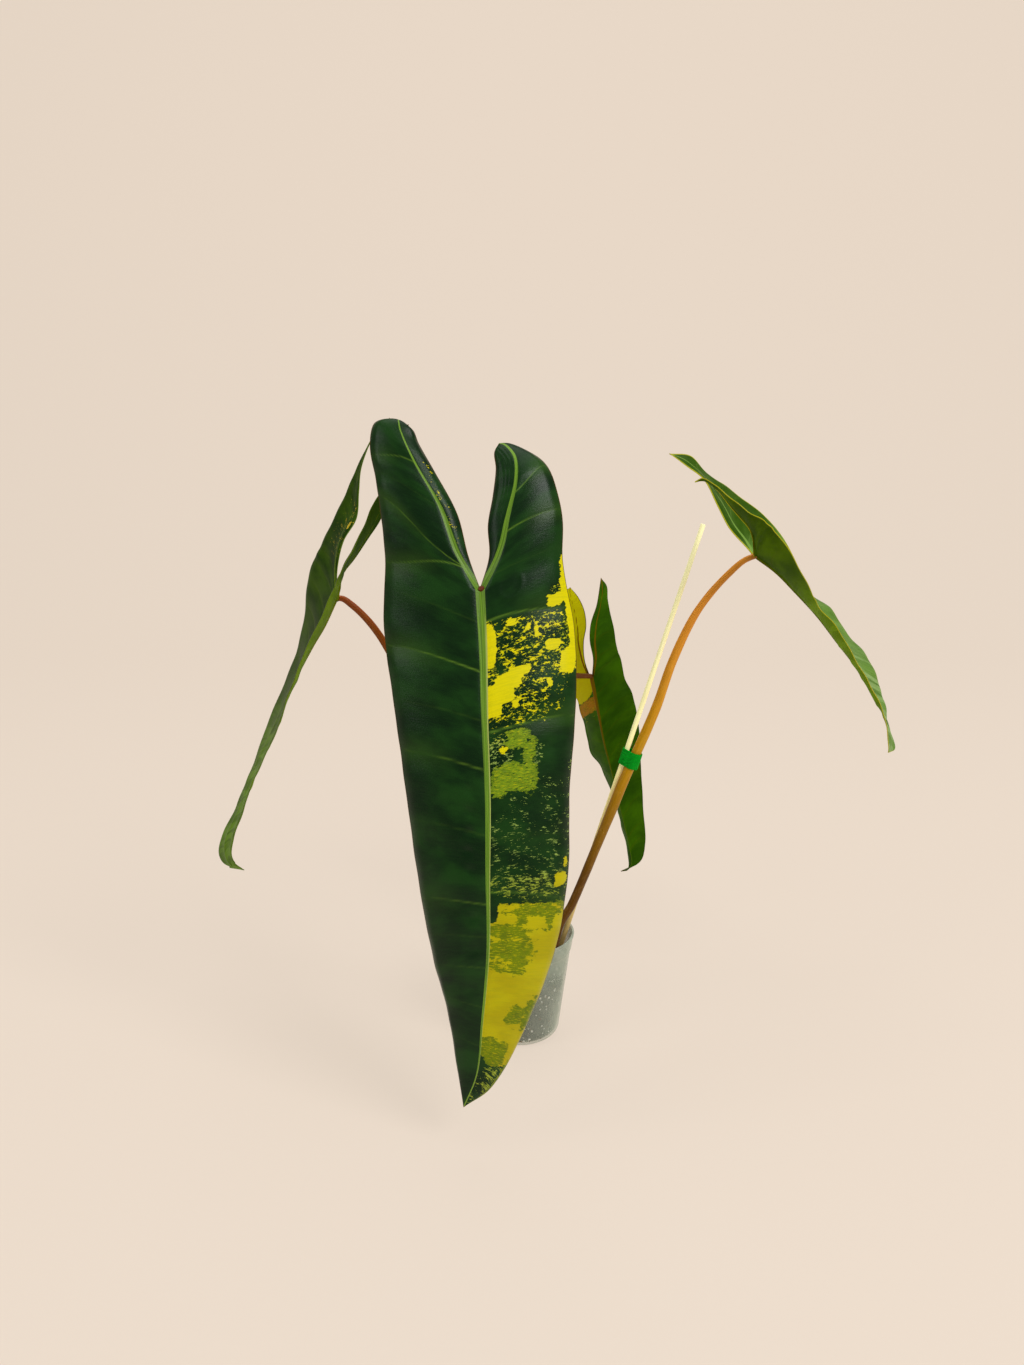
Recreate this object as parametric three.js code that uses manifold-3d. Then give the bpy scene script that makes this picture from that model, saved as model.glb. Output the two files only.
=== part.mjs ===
// Potted philodendron with a bamboo stick. Millimetres, Z up, pot base centred on the origin.
import * as THREE from 'three';
import Module from 'manifold-3d';

const wasm = await Module();
wasm.setup();

// Driving dimensions.
const GAP = 0.3;
const ROUND_STEPS = 44;
const SHEET_THICKNESS = 1.1;

const POT_HEIGHT = 85;
const RIM_RADIUS = 43;
const COLLAR_DROP = 13;
const COLLAR_STEP = 0.7;
const BASE_RADIUS = 31.8;
const BASE_CORNER = 7.5;
const POT_WALL = 1.3;
const POT_FLOOR = 1.8;
const LIP_OVERHANG = 0.4;
const DRAIN_COUNT = 6;
const DRAIN_RADIUS = 3.2;
const DRAIN_CIRCLE = 18;

const MIX_EDGE_LEVEL = 66;
const MIX_CROWN_LEVEL = 68.5;

const STICK_RADIUS = 2;
const STICK_TOP = [132, 2, 402];
const STICK_FOOT = [15.8, 9, 10];

const STRAP_WIDTH = 12.7;
const STRAP_THICKNESS = 1;
const STRAP_LEVEL = 226;

const COLOURS = {
  pot: [0.71, 0.74, 0.68],
  mix: [0.2, 0.16, 0.12],
  stem: [0.36, 0.33, 0.16],
  stalk: [0.66, 0.38, 0.13],
  darkStalk: [0.42, 0.2, 0.1],
  patchedLeaf: [0.24, 0.36, 0.1],
  leaf: [0.13, 0.3, 0.08],
  paleSheath: [0.55, 0.55, 0.25],
  drySheath: [0.42, 0.27, 0.15],
  root: [0.5, 0.38, 0.24],
  bamboo: [0.87, 0.79, 0.52],
  strap: [0.03, 0.45, 0.14],
  bark: [0.33, 0.2, 0.12],
  pumice: [0.82, 0.8, 0.75],
};

// Leaf blades. Every list of stations runs from the tip to the notch, then up the lobes.
const LEAF_FRONT = {
  facing: [0, -1, 0.2],
  swell: 5,
  rib: [
    [-38, -158, 32], [-29, -160, 58], [-25, -160, 97], [-21, -157, 147], [-21, -151, 193],
    [-21, -141, 244], [-23, -128, 297], [-24, -116, 337], [-26, -105, 373],
  ],
  left: [
    [-38, -158, 32], [-42, -155, 55], [-49, -151, 98], [-59, -146, 138], [-68, -138, 190],
    [-76, -126, 249], [-84, -111, 305], [-90, -97, 347], [-89, -88, 391],
  ],
  right: [
    [-38, -158, 32], [-18, -156, 46], [5, -150, 88], [24, -143, 140], [32, -136, 190],
    [33, -125, 245], [37, -111, 302], [36, -98, 347], [28, -90, 391],
  ],
  leftLobe: {
    inner: [[-34, -98, 395], [-41, -89, 421], [-56, -80, 448], [-66, -73, 465], [-70.5, -70, 474]],
    outer: [[-91, -84, 417], [-94, -80, 441], [-98, -73, 464], [-95, -68, 478], [-87.5, -66, 480]],
    end: [-81, -67, 477],
  },
  rightLobe: {
    inner: [[-20, -98, 395], [-21, -91, 414], [-18, -84, 432], [-16, -77, 449], [-17, -70, 459]],
    outer: [[28, -86, 415], [24, -81, 435], [18, -75, 450], [8, -69, 459], [-6, -64, 464]],
    end: [-14, -65, 464],
  },
};

const LEAF_LEFT = {
  facing: [-1, 0, 0.4],
  swell: -2,
  rib: [
    [-209, -14, 141], [-219, -18, 148], [-222, -18, 163], [-210, -16, 192], [-196, -15, 226],
    [-182, -15, 254], [-167, -14, 286], [-151, -14, 316], [-142, -14, 331], [-133, -14, 350],
  ],
  left: [
    [-209, -14, 141], [-228, -4, 143], [-233, 6, 153], [-221, 15, 181], [-209, 23, 209],
    [-194, 29, 249], [-175, 33, 292], [-164, 35, 331], [-162, 36, 352], [-156, 36, 371],
  ],
  right: [
    [-209, -14, 141], [-214, -26, 154], [-213, -36, 170], [-201, -46, 203], [-188, -55, 234],
    [-171, -62, 267], [-160, -66, 297], [-146, -67, 329], [-136, -64, 350], [-128, -60, 367],
  ],
  leftLobe: {
    inner: [[-133, 0, 373], [-129, 8, 390], [-120, 14, 405], [-118, 20, 423], [-116, 26, 440]],
    outer: [[-150, 37, 382], [-142, 38, 399], [-132, 38, 417], [-125, 36, 431], [-118, 33, 444]],
    end: [-108, 30, 461],
  },
  rightLobe: {
    inner: [[-126, -26, 371], [-116, -36, 384], [-105, -43, 399], [-96, -47, 411], [-91, -49, 421]],
    outer: [[-121, -64, 381], [-113, -66, 396], [-105, -64, 410], [-100, -60, 422], [-94, -54, 430]],
    end: [-88, -50, 429],
  },
};

const LEAF_RIGHT = {
  facing: [1, 0, 0.8],
  swell: -2,
  rib: [
    [281, 10, 227], [282, 9, 237], [278, 8, 252], [267, 7, 270], [251, 5, 295],
    [235, 4, 315], [219, 3, 335], [202, 2, 353], [187, 1, 368], [171, 0, 380],
  ],
  left: [
    [281, 10, 227], [278, 2, 238], [273, -6, 256], [262, -16, 278], [244, -28, 306],
    [226, -38, 332], [208, -46, 353], [200, -52, 365], [188, -56, 385], [173, -58, 406],
  ],
  right: [
    [281, 10, 227], [289, 18, 228], [284, 24, 245], [282, 30, 262], [278, 36, 277],
    [269, 40, 296], [254, 43, 313], [240, 45, 332], [225, 46, 344], [209, 46, 373],
  ],
  leftLobe: {
    inner: [[163, -18, 401], [154, -26, 411], [145, -33, 420], [135, -38, 431], [126, -41, 437]],
    outer: [[163, -58, 414], [152, -57, 421], [142, -55, 428], [131, -51, 436], [123, -47, 440]],
    end: [118, -44, 437],
  },
  rightLobe: {
    inner: [[165, 12, 386], [154, 14, 398], [145, 16, 414], [134, 17, 433], [121, 18, 442]],
    outer: [[192, 44, 397], [174, 42, 412], [155, 38, 426], [138, 31, 436], [125, 24, 449]],
    end: [108, 18, 451],
  },
};

const LEAF_BACK = {
  facing: [0, 1, 0.3],
  swell: -2,
  rib: [
    [91, 130, 78], [100, 132, 83], [99, 133, 97], [94, 135, 119], [88, 137, 143],
    [82, 140, 167], [75, 143, 193], [70, 146, 218], [66, 148, 237], [63, 150, 251],
  ],
  left: [
    [91, 130, 78], [108, 132, 87], [112, 134, 104], [110, 138, 131], [108, 143, 161],
    [106, 149, 190], [104, 155, 214], [99, 160, 233], [92, 162, 248], [88, 163, 266],
  ],
  right: [
    [91, 130, 78], [98, 136, 78], [98, 142, 91], [94, 150, 111], [88, 158, 132],
    [77, 166, 160], [65, 172, 179], [60, 176, 202], [55, 176, 219], [49, 174, 231],
  ],
  leftLobe: {
    inner: [[64, 152, 266], [61, 154, 282], [62, 158, 296], [67, 162, 311], [69, 164, 322]],
    outer: [[86, 163, 271], [83, 164, 285], [80, 166, 301], [77, 167, 315], [76, 168, 327]],
    end: [71, 168, 334],
  },
  rightLobe: {
    inner: [[58, 152, 265], [57, 156, 280], [59, 160, 294], [57, 164, 307], [52, 168, 317]],
    outer: [[43, 172, 253], [37, 172, 269], [34, 172, 287], [34, 172, 305], [37, 172, 319]],
    end: [45, 172, 325],
  },
};

// Round pieces: a route and the radius at each point of it.
const STALKS = {
  petiole_front: {
    colour: 'darkStalk',
    route: [
      [14, -10, 71], [9, -19, 130], [0, -44, 230], [-13, -78, 320], [-22, -97, 365], [-25.5, -102.5, 374],
    ],
    radii: [4.8, 4.4, 3.6, 2.9, 2.5, 1.6],
  },
  petiole_left: {
    colour: 'darkStalk',
    route: [
      [5.5, 3, 71], [0, 3, 108], [-25, 0, 168], [-59, -4, 242], [-88, -8, 298],
      [-103, -10, 325], [-112, -11, 337], [-121, -12, 346], [-127, -13, 350.5], [-131.5, -14, 350.5],
    ],
    radii: [4.8, 4.5, 4, 3.4, 2.9, 2.6, 2.5, 2.3, 2, 1.6],
  },
  petiole_right: {
    colour: 'stalk',
    route: [
      [26.5, -6.5, 71], [32, -6.5, 94], [40, -5.5, 108], [49, -3, 129], [59, -1.4, 155],
      [71, -1.1, 187], [78.5, 0.4, 207], [88, 2.4, 229], [102, 2, 265], [113, 1, 301],
      [127, 0, 334], [138, 0, 351], [151, 0, 366], [162, 0, 376], [169.5, 0, 379.5],
    ],
    radii: [3.4, 3.4, 3.4, 3.4, 3.5, 4, 4, 3.9, 3.7, 3.4, 3, 2.7, 2.4, 2.2, 1.7],
  },
  petiole_back: {
    colour: 'darkStalk',
    route: [
      [19, 17, 71], [17, 24, 110], [13, 46, 165], [13, 78, 220], [24, 108, 251],
      [40, 127, 257], [53, 140, 254], [61, 147.5, 251.5],
    ],
    radii: [4.8, 4.4, 3.9, 3.3, 2.8, 2.5, 2.3, 1.8],
  },
  sheath_new: {
    colour: 'paleSheath',
    route: [[19, 3, 89.8], [18, 2, 104], [15, 1, 124], [12, 0, 142]],
    radii: [3.2, 3.4, 2.4, 0.7],
  },
  sheath_dry: {
    colour: 'drySheath',
    route: [[25.5, 11, 74], [29, 15, 84], [31, 18, 96], [31, 20, 106]],
    radii: [1.1, 1.9, 1.5, 0.6],
  },
};

const STEM = { route: [[20, 3, 51], [19.5, 3, 61], [19, 3, 76], [19, 3, 89]], radii: [5.2, 7.2, 7.8, 5.4] };

const ROOTS = {
  root_front: {
    route: [[11.5, -2.8, 77], [5, -9, 76], [-1, -14, 69], [-4, -17, 54]],
    radii: [1.5, 1.6, 1.5, 1.2],
  },
  root_back: {
    route: [[11.4, 9.4, 77], [6, 15, 75], [2, 20, 68], [0, 22, 52]],
    radii: [1.4, 1.5, 1.4, 1.1],
  },
};

// Loose pieces on the mix: place, half sizes, turn in degrees and material.
const TOP_PIECES = [
  { at: [-16, -22, 70.5], half: [4.2, 3.4, 2.9], turn: 20, colour: 'pumice' },
  { at: [-29, -12, 69.8], half: [3.3, 2.8, 2.4], turn: 70, colour: 'pumice' },
  { at: [-25, 17, 70], half: [5.6, 3.2, 2.2], turn: 130, colour: 'bark' },
  { at: [-9, 28, 70], half: [3.6, 3.1, 2.5], turn: 10, colour: 'pumice' },
  { at: [14, 31, 69.8], half: [5.2, 2.9, 2], turn: 160, colour: 'bark' },
  { at: [3, -31, 69.7], half: [5.4, 3, 2.1], turn: 15, colour: 'bark' },
  { at: [21.5, -26.5, 70], half: [3.4, 3, 2.6], turn: 50, colour: 'pumice' },
  { at: [29.5, -16, 70], half: [4.6, 2.8, 2.1], turn: 110, colour: 'bark' },
  { at: [25, 22, 69.8], half: [2.8, 2.6, 2.3], turn: 85, colour: 'pumice' },
];

const vector = (p) => new THREE.Vector3(p[0], p[1], p[2]);

// Joins equal corners and drops faces that have closed up.
function weld(points, faces) {
  const slots = new Map();
  const kept = [];
  const index = points.map((p) => {
    const key = `${Math.round(p.x * 1e4)},${Math.round(p.y * 1e4)},${Math.round(p.z * 1e4)}`;
    if (!slots.has(key)) {
      slots.set(key, kept.length);
      kept.push(p);
    }
    return slots.get(key);
  });
  const whole = faces
    .map((face) => face.map((corner) => index[corner]))
    .filter(([a, b, c]) => a !== b && b !== c && c !== a);
  return { points: kept, faces: whole };
}

function solid({ points, faces }) {
  const geometry = new THREE.BufferGeometry();
  const flat = points.flatMap((p) => [p.x, p.y, p.z]);
  geometry.setAttribute('position', new THREE.Float32BufferAttribute(flat, 3));
  geometry.setIndex(faces.flat());
  geometry.computeVertexNormals();
  return geometry;
}

function meshOf(name, geometry, colour, roughness) {
  const material = new THREE.MeshStandardMaterial({
    color: new THREE.Color().setRGB(...COLOURS[colour], THREE.SRGBColorSpace),
    roughness,
    metalness: 0,
  });
  const mesh = new THREE.Mesh(geometry, material);
  mesh.name = name;
  return mesh;
}

// Turns an outline of [radius, level] pairs about the Z axis.
function turned(outline) {
  const lathe = new THREE.LatheGeometry(outline.map(([r, z]) => new THREE.Vector2(r, z)), ROUND_STEPS);
  lathe.rotateX(Math.PI / 2);
  const at = lathe.getAttribute('position');
  const points = Array.from({ length: at.count }, (_, i) => new THREE.Vector3().fromBufferAttribute(at, i));
  const flat = Array.from(lathe.getIndex().array);
  const faces = flat.filter((_, i) => i % 3 === 0).map((_, i) => flat.slice(3 * i, 3 * i + 3));
  return outward(weld(points, faces));
}

// Flips every face when the body encloses a negative volume.
function outward(body) {
  const { points, faces } = body;
  const volume = faces.reduce((sum, [a, b, c]) => sum + points[a].dot(points[b].clone().cross(points[c])), 0);
  return volume > 0 ? body : { points, faces: faces.map(([a, b, c]) => [a, c, b]) };
}

function spline(stations) {
  return new THREE.CatmullRomCurve3(stations.map(vector), false, 'centripetal');
}

function along(values, t) {
  const reach = t * (values.length - 1);
  const low = Math.min(Math.floor(reach), values.length - 2);
  return THREE.MathUtils.lerp(values[low], values[low + 1], reach - low);
}

// A capped round bar whose radius changes along its route.
function bar(route, radii, grow = 0, sides = 12, perStation = 3) {
  const curve = spline(route);
  const steps = (route.length - 1) * perStation;
  const points = [];
  const faces = [];
  let across = new THREE.Vector3(0, 1, 0.01);
  for (let i = 0; i <= steps; i += 1) {
    const centre = curve.getPoint(i / steps);
    const forward = curve.getTangent(i / steps);
    if (grow && i === 0) centre.addScaledVector(forward, -grow);
    if (grow && i === steps) centre.addScaledVector(forward, grow);
    across = across.clone().addScaledVector(forward, -across.dot(forward)).normalize();
    const other = forward.clone().cross(across);
    const radius = along(radii, i / steps) + grow;
    for (let k = 0; k < sides; k += 1) {
      const angle = (2 * Math.PI * k) / sides;
      const rim = centre.clone();
      rim.addScaledVector(across, radius * Math.cos(angle));
      rim.addScaledVector(other, radius * Math.sin(angle));
      points.push(rim);
      if (i < steps) {
        const a = i * sides + k;
        const b = i * sides + ((k + 1) % sides);
        faces.push([a, b, b + sides], [a, b + sides, a + sides]);
      }
    }
  }
  const last = steps * sides;
  for (let k = 1; k < sides - 1; k += 1) {
    faces.push([0, k + 1, k], [last, last + k, last + k + 1]);
  }
  return outward({ points, faces });
}

// One half of a blade: rungs from the rib, then from the lobe's inner edge, out to the margin.
function rungs(leaf, edge, lobe) {
  const rib = spline(leaf.rib);
  const inner = spline([leaf.rib[leaf.rib.length - 1], ...lobe.inner, lobe.end]);
  const outer = spline([...leaf[edge], ...lobe.outer, lobe.end]);
  const bladeRows = 2 * (leaf.rib.length - 1);
  const lobeRows = 2 * (lobe.inner.length + 1);
  return Array.from({ length: bladeRows + lobeRows + 1 }, (_, i) => ({
    from: i <= bladeRows ? rib.getPoint(i / bladeRows) : inner.getPoint((i - bladeRows) / lobeRows),
    to: outer.getPoint(i / (bladeRows + lobeRows)),
  }));
}

// Fills the rungs with points, swelling the blade up between rib and margin.
function halfBlade(rows, swell, facing, columns) {
  const middle = rows.map(({ from, to }) => from.clone().add(to));
  return rows.map(({ from, to }, i) => {
    const forward = middle[Math.min(i + 1, rows.length - 1)].clone().sub(middle[Math.max(i - 1, 0)]);
    const across = to.clone().sub(from);
    const up = across.clone().cross(forward).normalize();
    if (up.dot(facing) < 0) up.negate();
    const rise = swell * Math.min(1, across.length() / 40);
    return Array.from({ length: columns + 1 }, (_, j) => {
      const s = j / columns;
      return from.clone().addScaledVector(across, s).addScaledVector(up, rise * 4 * s * (1 - s));
    });
  });
}

function bladeSheet(leaf) {
  const points = [];
  const faces = [];
  const add = (grid, flip) => {
    const first = points.length;
    const width = grid[0].length;
    grid.forEach((row) => points.push(...row));
    for (let i = 0; i < grid.length - 1; i += 1) {
      for (let j = 0; j < width - 1; j += 1) {
        const a = first + i * width + j;
        const corners = [a, a + 1, a + width + 1, a + width];
        const [p, q, r, s] = flip ? corners.reverse() : corners;
        faces.push([p, q, r], [p, r, s]);
      }
    }
  };
  add(halfBlade(rungs(leaf, 'left', leaf.leftLobe), leaf.swell, vector(leaf.facing), 4), false);
  add(halfBlade(rungs(leaf, 'right', leaf.rightLobe), leaf.swell, vector(leaf.facing), 4), true);
  return weld(points, faces);
}

// Gives a sheet its thickness, half to each side, and closes its edge.
function thicken(sheet, thickness) {
  const { points, faces } = sheet;
  const normals = points.map(() => new THREE.Vector3());
  faces.forEach(([a, b, c]) => {
    const turn = points[b].clone().sub(points[a]).cross(points[c].clone().sub(points[a]));
    [a, b, c].forEach((corner) => normals[corner].add(turn));
  });
  normals.forEach((n) => n.normalize().multiplyScalar(thickness / 2));
  const count = points.length;
  const both = [
    ...points.map((p, i) => p.clone().add(normals[i])),
    ...points.map((p, i) => p.clone().sub(normals[i])),
  ];
  const shell = [...faces, ...faces.map(([a, b, c]) => [a + count, c + count, b + count])];
  const seen = new Set(faces.flatMap(([a, b, c]) => [`${a},${b}`, `${b},${c}`, `${c},${a}`]));
  seen.forEach((edge) => {
    const [a, b] = edge.split(',').map(Number);
    if (!seen.has(`${b},${a}`)) shell.push([a, a + count, b], [b, a + count, b + count]);
  });
  return outward({ points: both, faces: shell });
}

function toManifold({ points, faces }) {
  return new wasm.Manifold(new wasm.Mesh({
    numProp: 3,
    vertProperties: new Float32Array(points.flatMap((p) => [p.x, p.y, p.z])),
    triVerts: new Uint32Array(faces.flat()),
  }));
}

function cut(body, tools) {
  const result = tools.reduce((left, tool) => left.subtract(toManifold(tool)), toManifold(body));
  const mesh = result.getMesh();
  const points = [];
  for (let i = 0; i < mesh.vertProperties.length; i += mesh.numProp) {
    points.push(vector(mesh.vertProperties.slice(i, i + 3)));
  }
  const flat = Array.from(mesh.triVerts);
  const faces = flat.filter((_, i) => i % 3 === 0).map((_, i) => flat.slice(3 * i, 3 * i + 3));
  return weld(points, faces);
}

// Pot.
const collarLevel = POT_HEIGHT - COLLAR_DROP;
const taper = (RIM_RADIUS - LIP_OVERHANG - COLLAR_STEP - BASE_RADIUS) / (POT_HEIGHT - BASE_CORNER);
const wallRadius = (z) => BASE_RADIUS + taper * (z - BASE_CORNER);
const corner = (share) => [
  BASE_RADIUS - BASE_CORNER * (1 - Math.sin(share)),
  BASE_CORNER * (1 - Math.cos(share)),
];
const innerCorner = (share) => [
  wallRadius(BASE_CORNER) - POT_WALL - (BASE_CORNER - POT_WALL) * (1 - Math.sin(share)),
  POT_FLOOR + (BASE_CORNER - POT_WALL) * (1 - Math.cos(share)),
];
const potOutline = [
  [0, 0],
  corner(0), corner(0.5), corner(1.05), corner(Math.PI / 2),
  [wallRadius(collarLevel), collarLevel],
  [wallRadius(collarLevel) + COLLAR_STEP, collarLevel + 0.8],
  [wallRadius(POT_HEIGHT - 2.4) + COLLAR_STEP, POT_HEIGHT - 2.4],
  [RIM_RADIUS, POT_HEIGHT - 1.6],
  [RIM_RADIUS, POT_HEIGHT - 0.4],
  [RIM_RADIUS - 0.5, POT_HEIGHT],
  [RIM_RADIUS - 1.6, POT_HEIGHT],
  [wallRadius(collarLevel) + COLLAR_STEP - POT_WALL, collarLevel + 1.4],
  [wallRadius(collarLevel) - POT_WALL, collarLevel - 0.2],
  innerCorner(Math.PI / 2), innerCorner(1.05), innerCorner(0.5), innerCorner(0),
  [0, POT_FLOOR],
];
const drains = Array.from({ length: DRAIN_COUNT }, (_, i) => {
  const angle = (2 * Math.PI * (i + 0.5)) / DRAIN_COUNT;
  const at = [DRAIN_CIRCLE * Math.cos(angle), DRAIN_CIRCLE * Math.sin(angle)];
  return bar([[...at, -2], [...at, POT_FLOOR + 2]], [DRAIN_RADIUS, DRAIN_RADIUS], 0, 14, 1);
});
const pot = cut(turned(potOutline), drains);

// Mix, with room left for everything that is planted in it.
const mixOutline = [
  [0, POT_FLOOR + GAP],
  [innerCorner(0)[0] - GAP, POT_FLOOR + GAP],
  [innerCorner(0.5)[0] - GAP, innerCorner(0.5)[1] + GAP],
  [innerCorner(1.05)[0] - GAP, innerCorner(1.05)[1] + GAP],
  [innerCorner(Math.PI / 2)[0] - GAP, innerCorner(Math.PI / 2)[1] + GAP],
  [wallRadius(MIX_EDGE_LEVEL) - POT_WALL - GAP, MIX_EDGE_LEVEL],
  [wallRadius(MIX_EDGE_LEVEL) - POT_WALL - 8, MIX_EDGE_LEVEL + 0.8],
  [20, MIX_CROWN_LEVEL - 0.5],
  [0, MIX_CROWN_LEVEL],
];
const planted = [
  bar(STEM.route, STEM.radii, GAP),
  bar(ROOTS.root_front.route, ROOTS.root_front.radii, GAP, 8),
  bar(ROOTS.root_back.route, ROOTS.root_back.radii, GAP, 8),
  bar([STICK_FOOT, STICK_TOP], [STICK_RADIUS, STICK_RADIUS], GAP, 12, 1),
];
const mix = cut(turned(mixOutline), planted);

// Strap: a band round the stick and the right leaf's stalk, doubled where its end laps over.
function strap() {
  const top = vector(STICK_TOP);
  const foot = vector(STICK_FOOT);
  const axis = top.clone().sub(foot).normalize();
  const stickAt = foot.clone().addScaledVector(axis, (STRAP_LEVEL - foot.z) / axis.z);
  const stalk = spline(STALKS.petiole_right.route);
  const spots = Array.from({ length: 401 }, (_, i) => stalk.getPoint(i / 400));
  const distance = (p) => Math.abs(p.clone().sub(stickAt).dot(axis));
  const stalkAt = spots.reduce((best, p) => (distance(p) < distance(best) ? p : best));
  const stalkRadius = 4.2;
  const toStalk = stalkAt.clone().sub(stickAt);
  toStalk.addScaledVector(axis, -toStalk.dot(axis));
  const reach = toStalk.length();
  const right = toStalk.normalize();
  const front = axis.clone().cross(right);
  const loop = (offset, lap) => Array.from({ length: 56 }, (_, i) => {
    const angle = (2 * Math.PI * i) / 56;
    const x = Math.cos(angle);
    const y = Math.sin(angle);
    const stickSupport = STICK_RADIUS;
    const stalkSupport = reach * x + stalkRadius;
    const lapped = i > 10 && i < 22 ? lap : 0;
    const atStalk = stalkSupport > stickSupport;
    const grow = (atStalk ? stalkRadius : STICK_RADIUS) + offset + lapped;
    return [(atStalk ? reach : 0) + grow * x, grow * y];
  });
  const inside = loop(1.1, 0);
  const outside = loop(1.1 + STRAP_THICKNESS, STRAP_THICKNESS);
  const shape = new THREE.Shape(outside.map(([x, y]) => new THREE.Vector2(x, y)));
  shape.holes.push(new THREE.Path(inside.map(([x, y]) => new THREE.Vector2(x, y))));
  const band = new THREE.ExtrudeGeometry(shape, { depth: STRAP_WIDTH, bevelEnabled: false, steps: 1 });
  const place = new THREE.Matrix4().makeBasis(right, front, axis);
  place.setPosition(stickAt.clone().addScaledVector(axis, -STRAP_WIDTH / 2));
  band.applyMatrix4(place);
  const at = band.getAttribute('position');
  const points = Array.from({ length: at.count }, (_, i) => new THREE.Vector3().fromBufferAttribute(at, i));
  const faces = Array.from({ length: at.count / 3 }, (_, i) => [3 * i, 3 * i + 1, 3 * i + 2]);
  return outward(weld(points, faces));
}

// A rough little stone or chip.
function lump({ at, half, turn }, seed) {
  const ball = new THREE.IcosahedronGeometry(1, 1);
  const position = ball.getAttribute('position');
  const spin = THREE.MathUtils.degToRad(turn);
  const points = Array.from({ length: position.count }, (_, i) => {
    const p = new THREE.Vector3().fromBufferAttribute(position, i);
    const broad = 0.12 * Math.sin(5 * p.x + seed) * Math.cos(4 * p.y - 2 * seed);
    const rough = 1 + broad + 0.08 * Math.sin(7 * p.z + seed);
    p.multiplyScalar(rough).multiply(vector(half));
    p.applyAxisAngle(new THREE.Vector3(0, 0, 1), spin);
    return p.add(vector(at));
  });
  const faces = Array.from({ length: position.count / 3 }, (_, i) => [3 * i, 3 * i + 1, 3 * i + 2]);
  return outward(weld(points, faces));
}

const plant = new THREE.Group();
plant.name = 'potted_philodendron';
plant.add(meshOf('pot', solid(pot), 'pot', 0.4));
plant.add(meshOf('substrate', solid(mix), 'mix', 0.95));
plant.add(meshOf('stem', solid(bar(STEM.route, STEM.radii)), 'stem', 0.7));
Object.entries(STALKS).forEach(([name, { colour, route, radii }]) => {
  plant.add(meshOf(name, solid(bar(route, radii)), colour, 0.45));
});
Object.entries(ROOTS).forEach(([name, { route, radii }]) => {
  plant.add(meshOf(name, solid(bar(route, radii, 0, 8)), 'root', 0.85));
});
plant.add(meshOf('leaf_front', solid(thicken(bladeSheet(LEAF_FRONT), SHEET_THICKNESS)), 'patchedLeaf', 0.35));
plant.add(meshOf('leaf_left', solid(thicken(bladeSheet(LEAF_LEFT), SHEET_THICKNESS)), 'leaf', 0.4));
plant.add(meshOf('leaf_right', solid(thicken(bladeSheet(LEAF_RIGHT), SHEET_THICKNESS)), 'leaf', 0.4));
plant.add(meshOf('leaf_back', solid(thicken(bladeSheet(LEAF_BACK), SHEET_THICKNESS)), 'leaf', 0.4));
const stick = bar([STICK_FOOT, STICK_TOP], [STICK_RADIUS, STICK_RADIUS], 0, 12, 6);
plant.add(meshOf('bamboo_stake', solid(stick), 'bamboo', 0.55));
plant.add(meshOf('plant_tie', solid(strap()), 'strap', 0.8));
TOP_PIECES.forEach((piece, i) => {
  plant.add(meshOf(`top_${piece.colour}_${i + 1}`, solid(lump(piece, i + 1)), piece.colour, 0.9));
});

export default plant;
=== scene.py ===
import math

import bpy
import numpy as np
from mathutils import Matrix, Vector


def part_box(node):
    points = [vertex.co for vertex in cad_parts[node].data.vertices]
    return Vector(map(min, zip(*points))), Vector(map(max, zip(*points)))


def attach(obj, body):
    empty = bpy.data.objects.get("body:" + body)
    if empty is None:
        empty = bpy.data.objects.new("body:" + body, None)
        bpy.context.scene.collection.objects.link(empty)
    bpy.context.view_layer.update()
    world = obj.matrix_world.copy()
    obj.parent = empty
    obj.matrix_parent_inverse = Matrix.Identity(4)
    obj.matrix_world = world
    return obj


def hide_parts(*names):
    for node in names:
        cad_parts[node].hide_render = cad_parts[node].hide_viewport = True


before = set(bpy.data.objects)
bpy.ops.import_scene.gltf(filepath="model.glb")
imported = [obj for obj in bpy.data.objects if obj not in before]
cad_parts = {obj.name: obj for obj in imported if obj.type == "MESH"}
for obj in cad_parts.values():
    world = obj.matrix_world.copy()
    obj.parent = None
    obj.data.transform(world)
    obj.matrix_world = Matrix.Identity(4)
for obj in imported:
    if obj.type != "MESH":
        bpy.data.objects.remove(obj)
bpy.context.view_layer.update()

MM = 0.001
TURN = 6.28      # about one whole turn, in radians
rng = np.random.default_rng(7)

# ------------------------------------------------------------------ studio

scene = bpy.context.scene
scene.view_settings.view_transform = "Standard"
scene.view_settings.look = "None"
scene.view_settings.exposure = 0.0

CAMERA_PLACE, CAMERA_DIP, LENS_LENGTH = (-0.0055, -0.896, 0.520), 14.7, 32.967

lens = bpy.data.cameras.new("studio_camera")
lens.sensor_width = 36.0
lens.lens = LENS_LENGTH
lens.clip_start = 0.01
camera = bpy.data.objects.new("studio_camera", lens)
camera.location = CAMERA_PLACE
camera.rotation_euler = (math.radians(90.0 - CAMERA_DIP), 0.0, 0.0)
scene.collection.objects.link(camera)
scene.camera = camera


def area_light(name, place, aim, size, watts):
    lamp = bpy.data.lights.new(name, "AREA")
    lamp.shape = "RECTANGLE"
    lamp.size, lamp.size_y = size
    lamp.energy = watts
    holder = bpy.data.objects.new(name, lamp)
    holder.location = place
    holder.rotation_euler = (Vector(aim) - Vector(place)).to_track_quat("-Z", "Y").to_euler()
    scene.collection.objects.link(holder)


area_light("key_window", (1.7, -1.7, 2.2), (0.0, 0.0, 0.25), (1.3, 1.3), 60.0)
area_light("fill_panel", (-2.1, -1.2, 1.6), (0.0, 0.0, 0.25), (1.2, 1.6), 17.0)
area_light("top_panel", (0.1, 0.2, 2.6), (0.0, 0.05, 0.2), (2.0, 2.0), 22.0)

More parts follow.
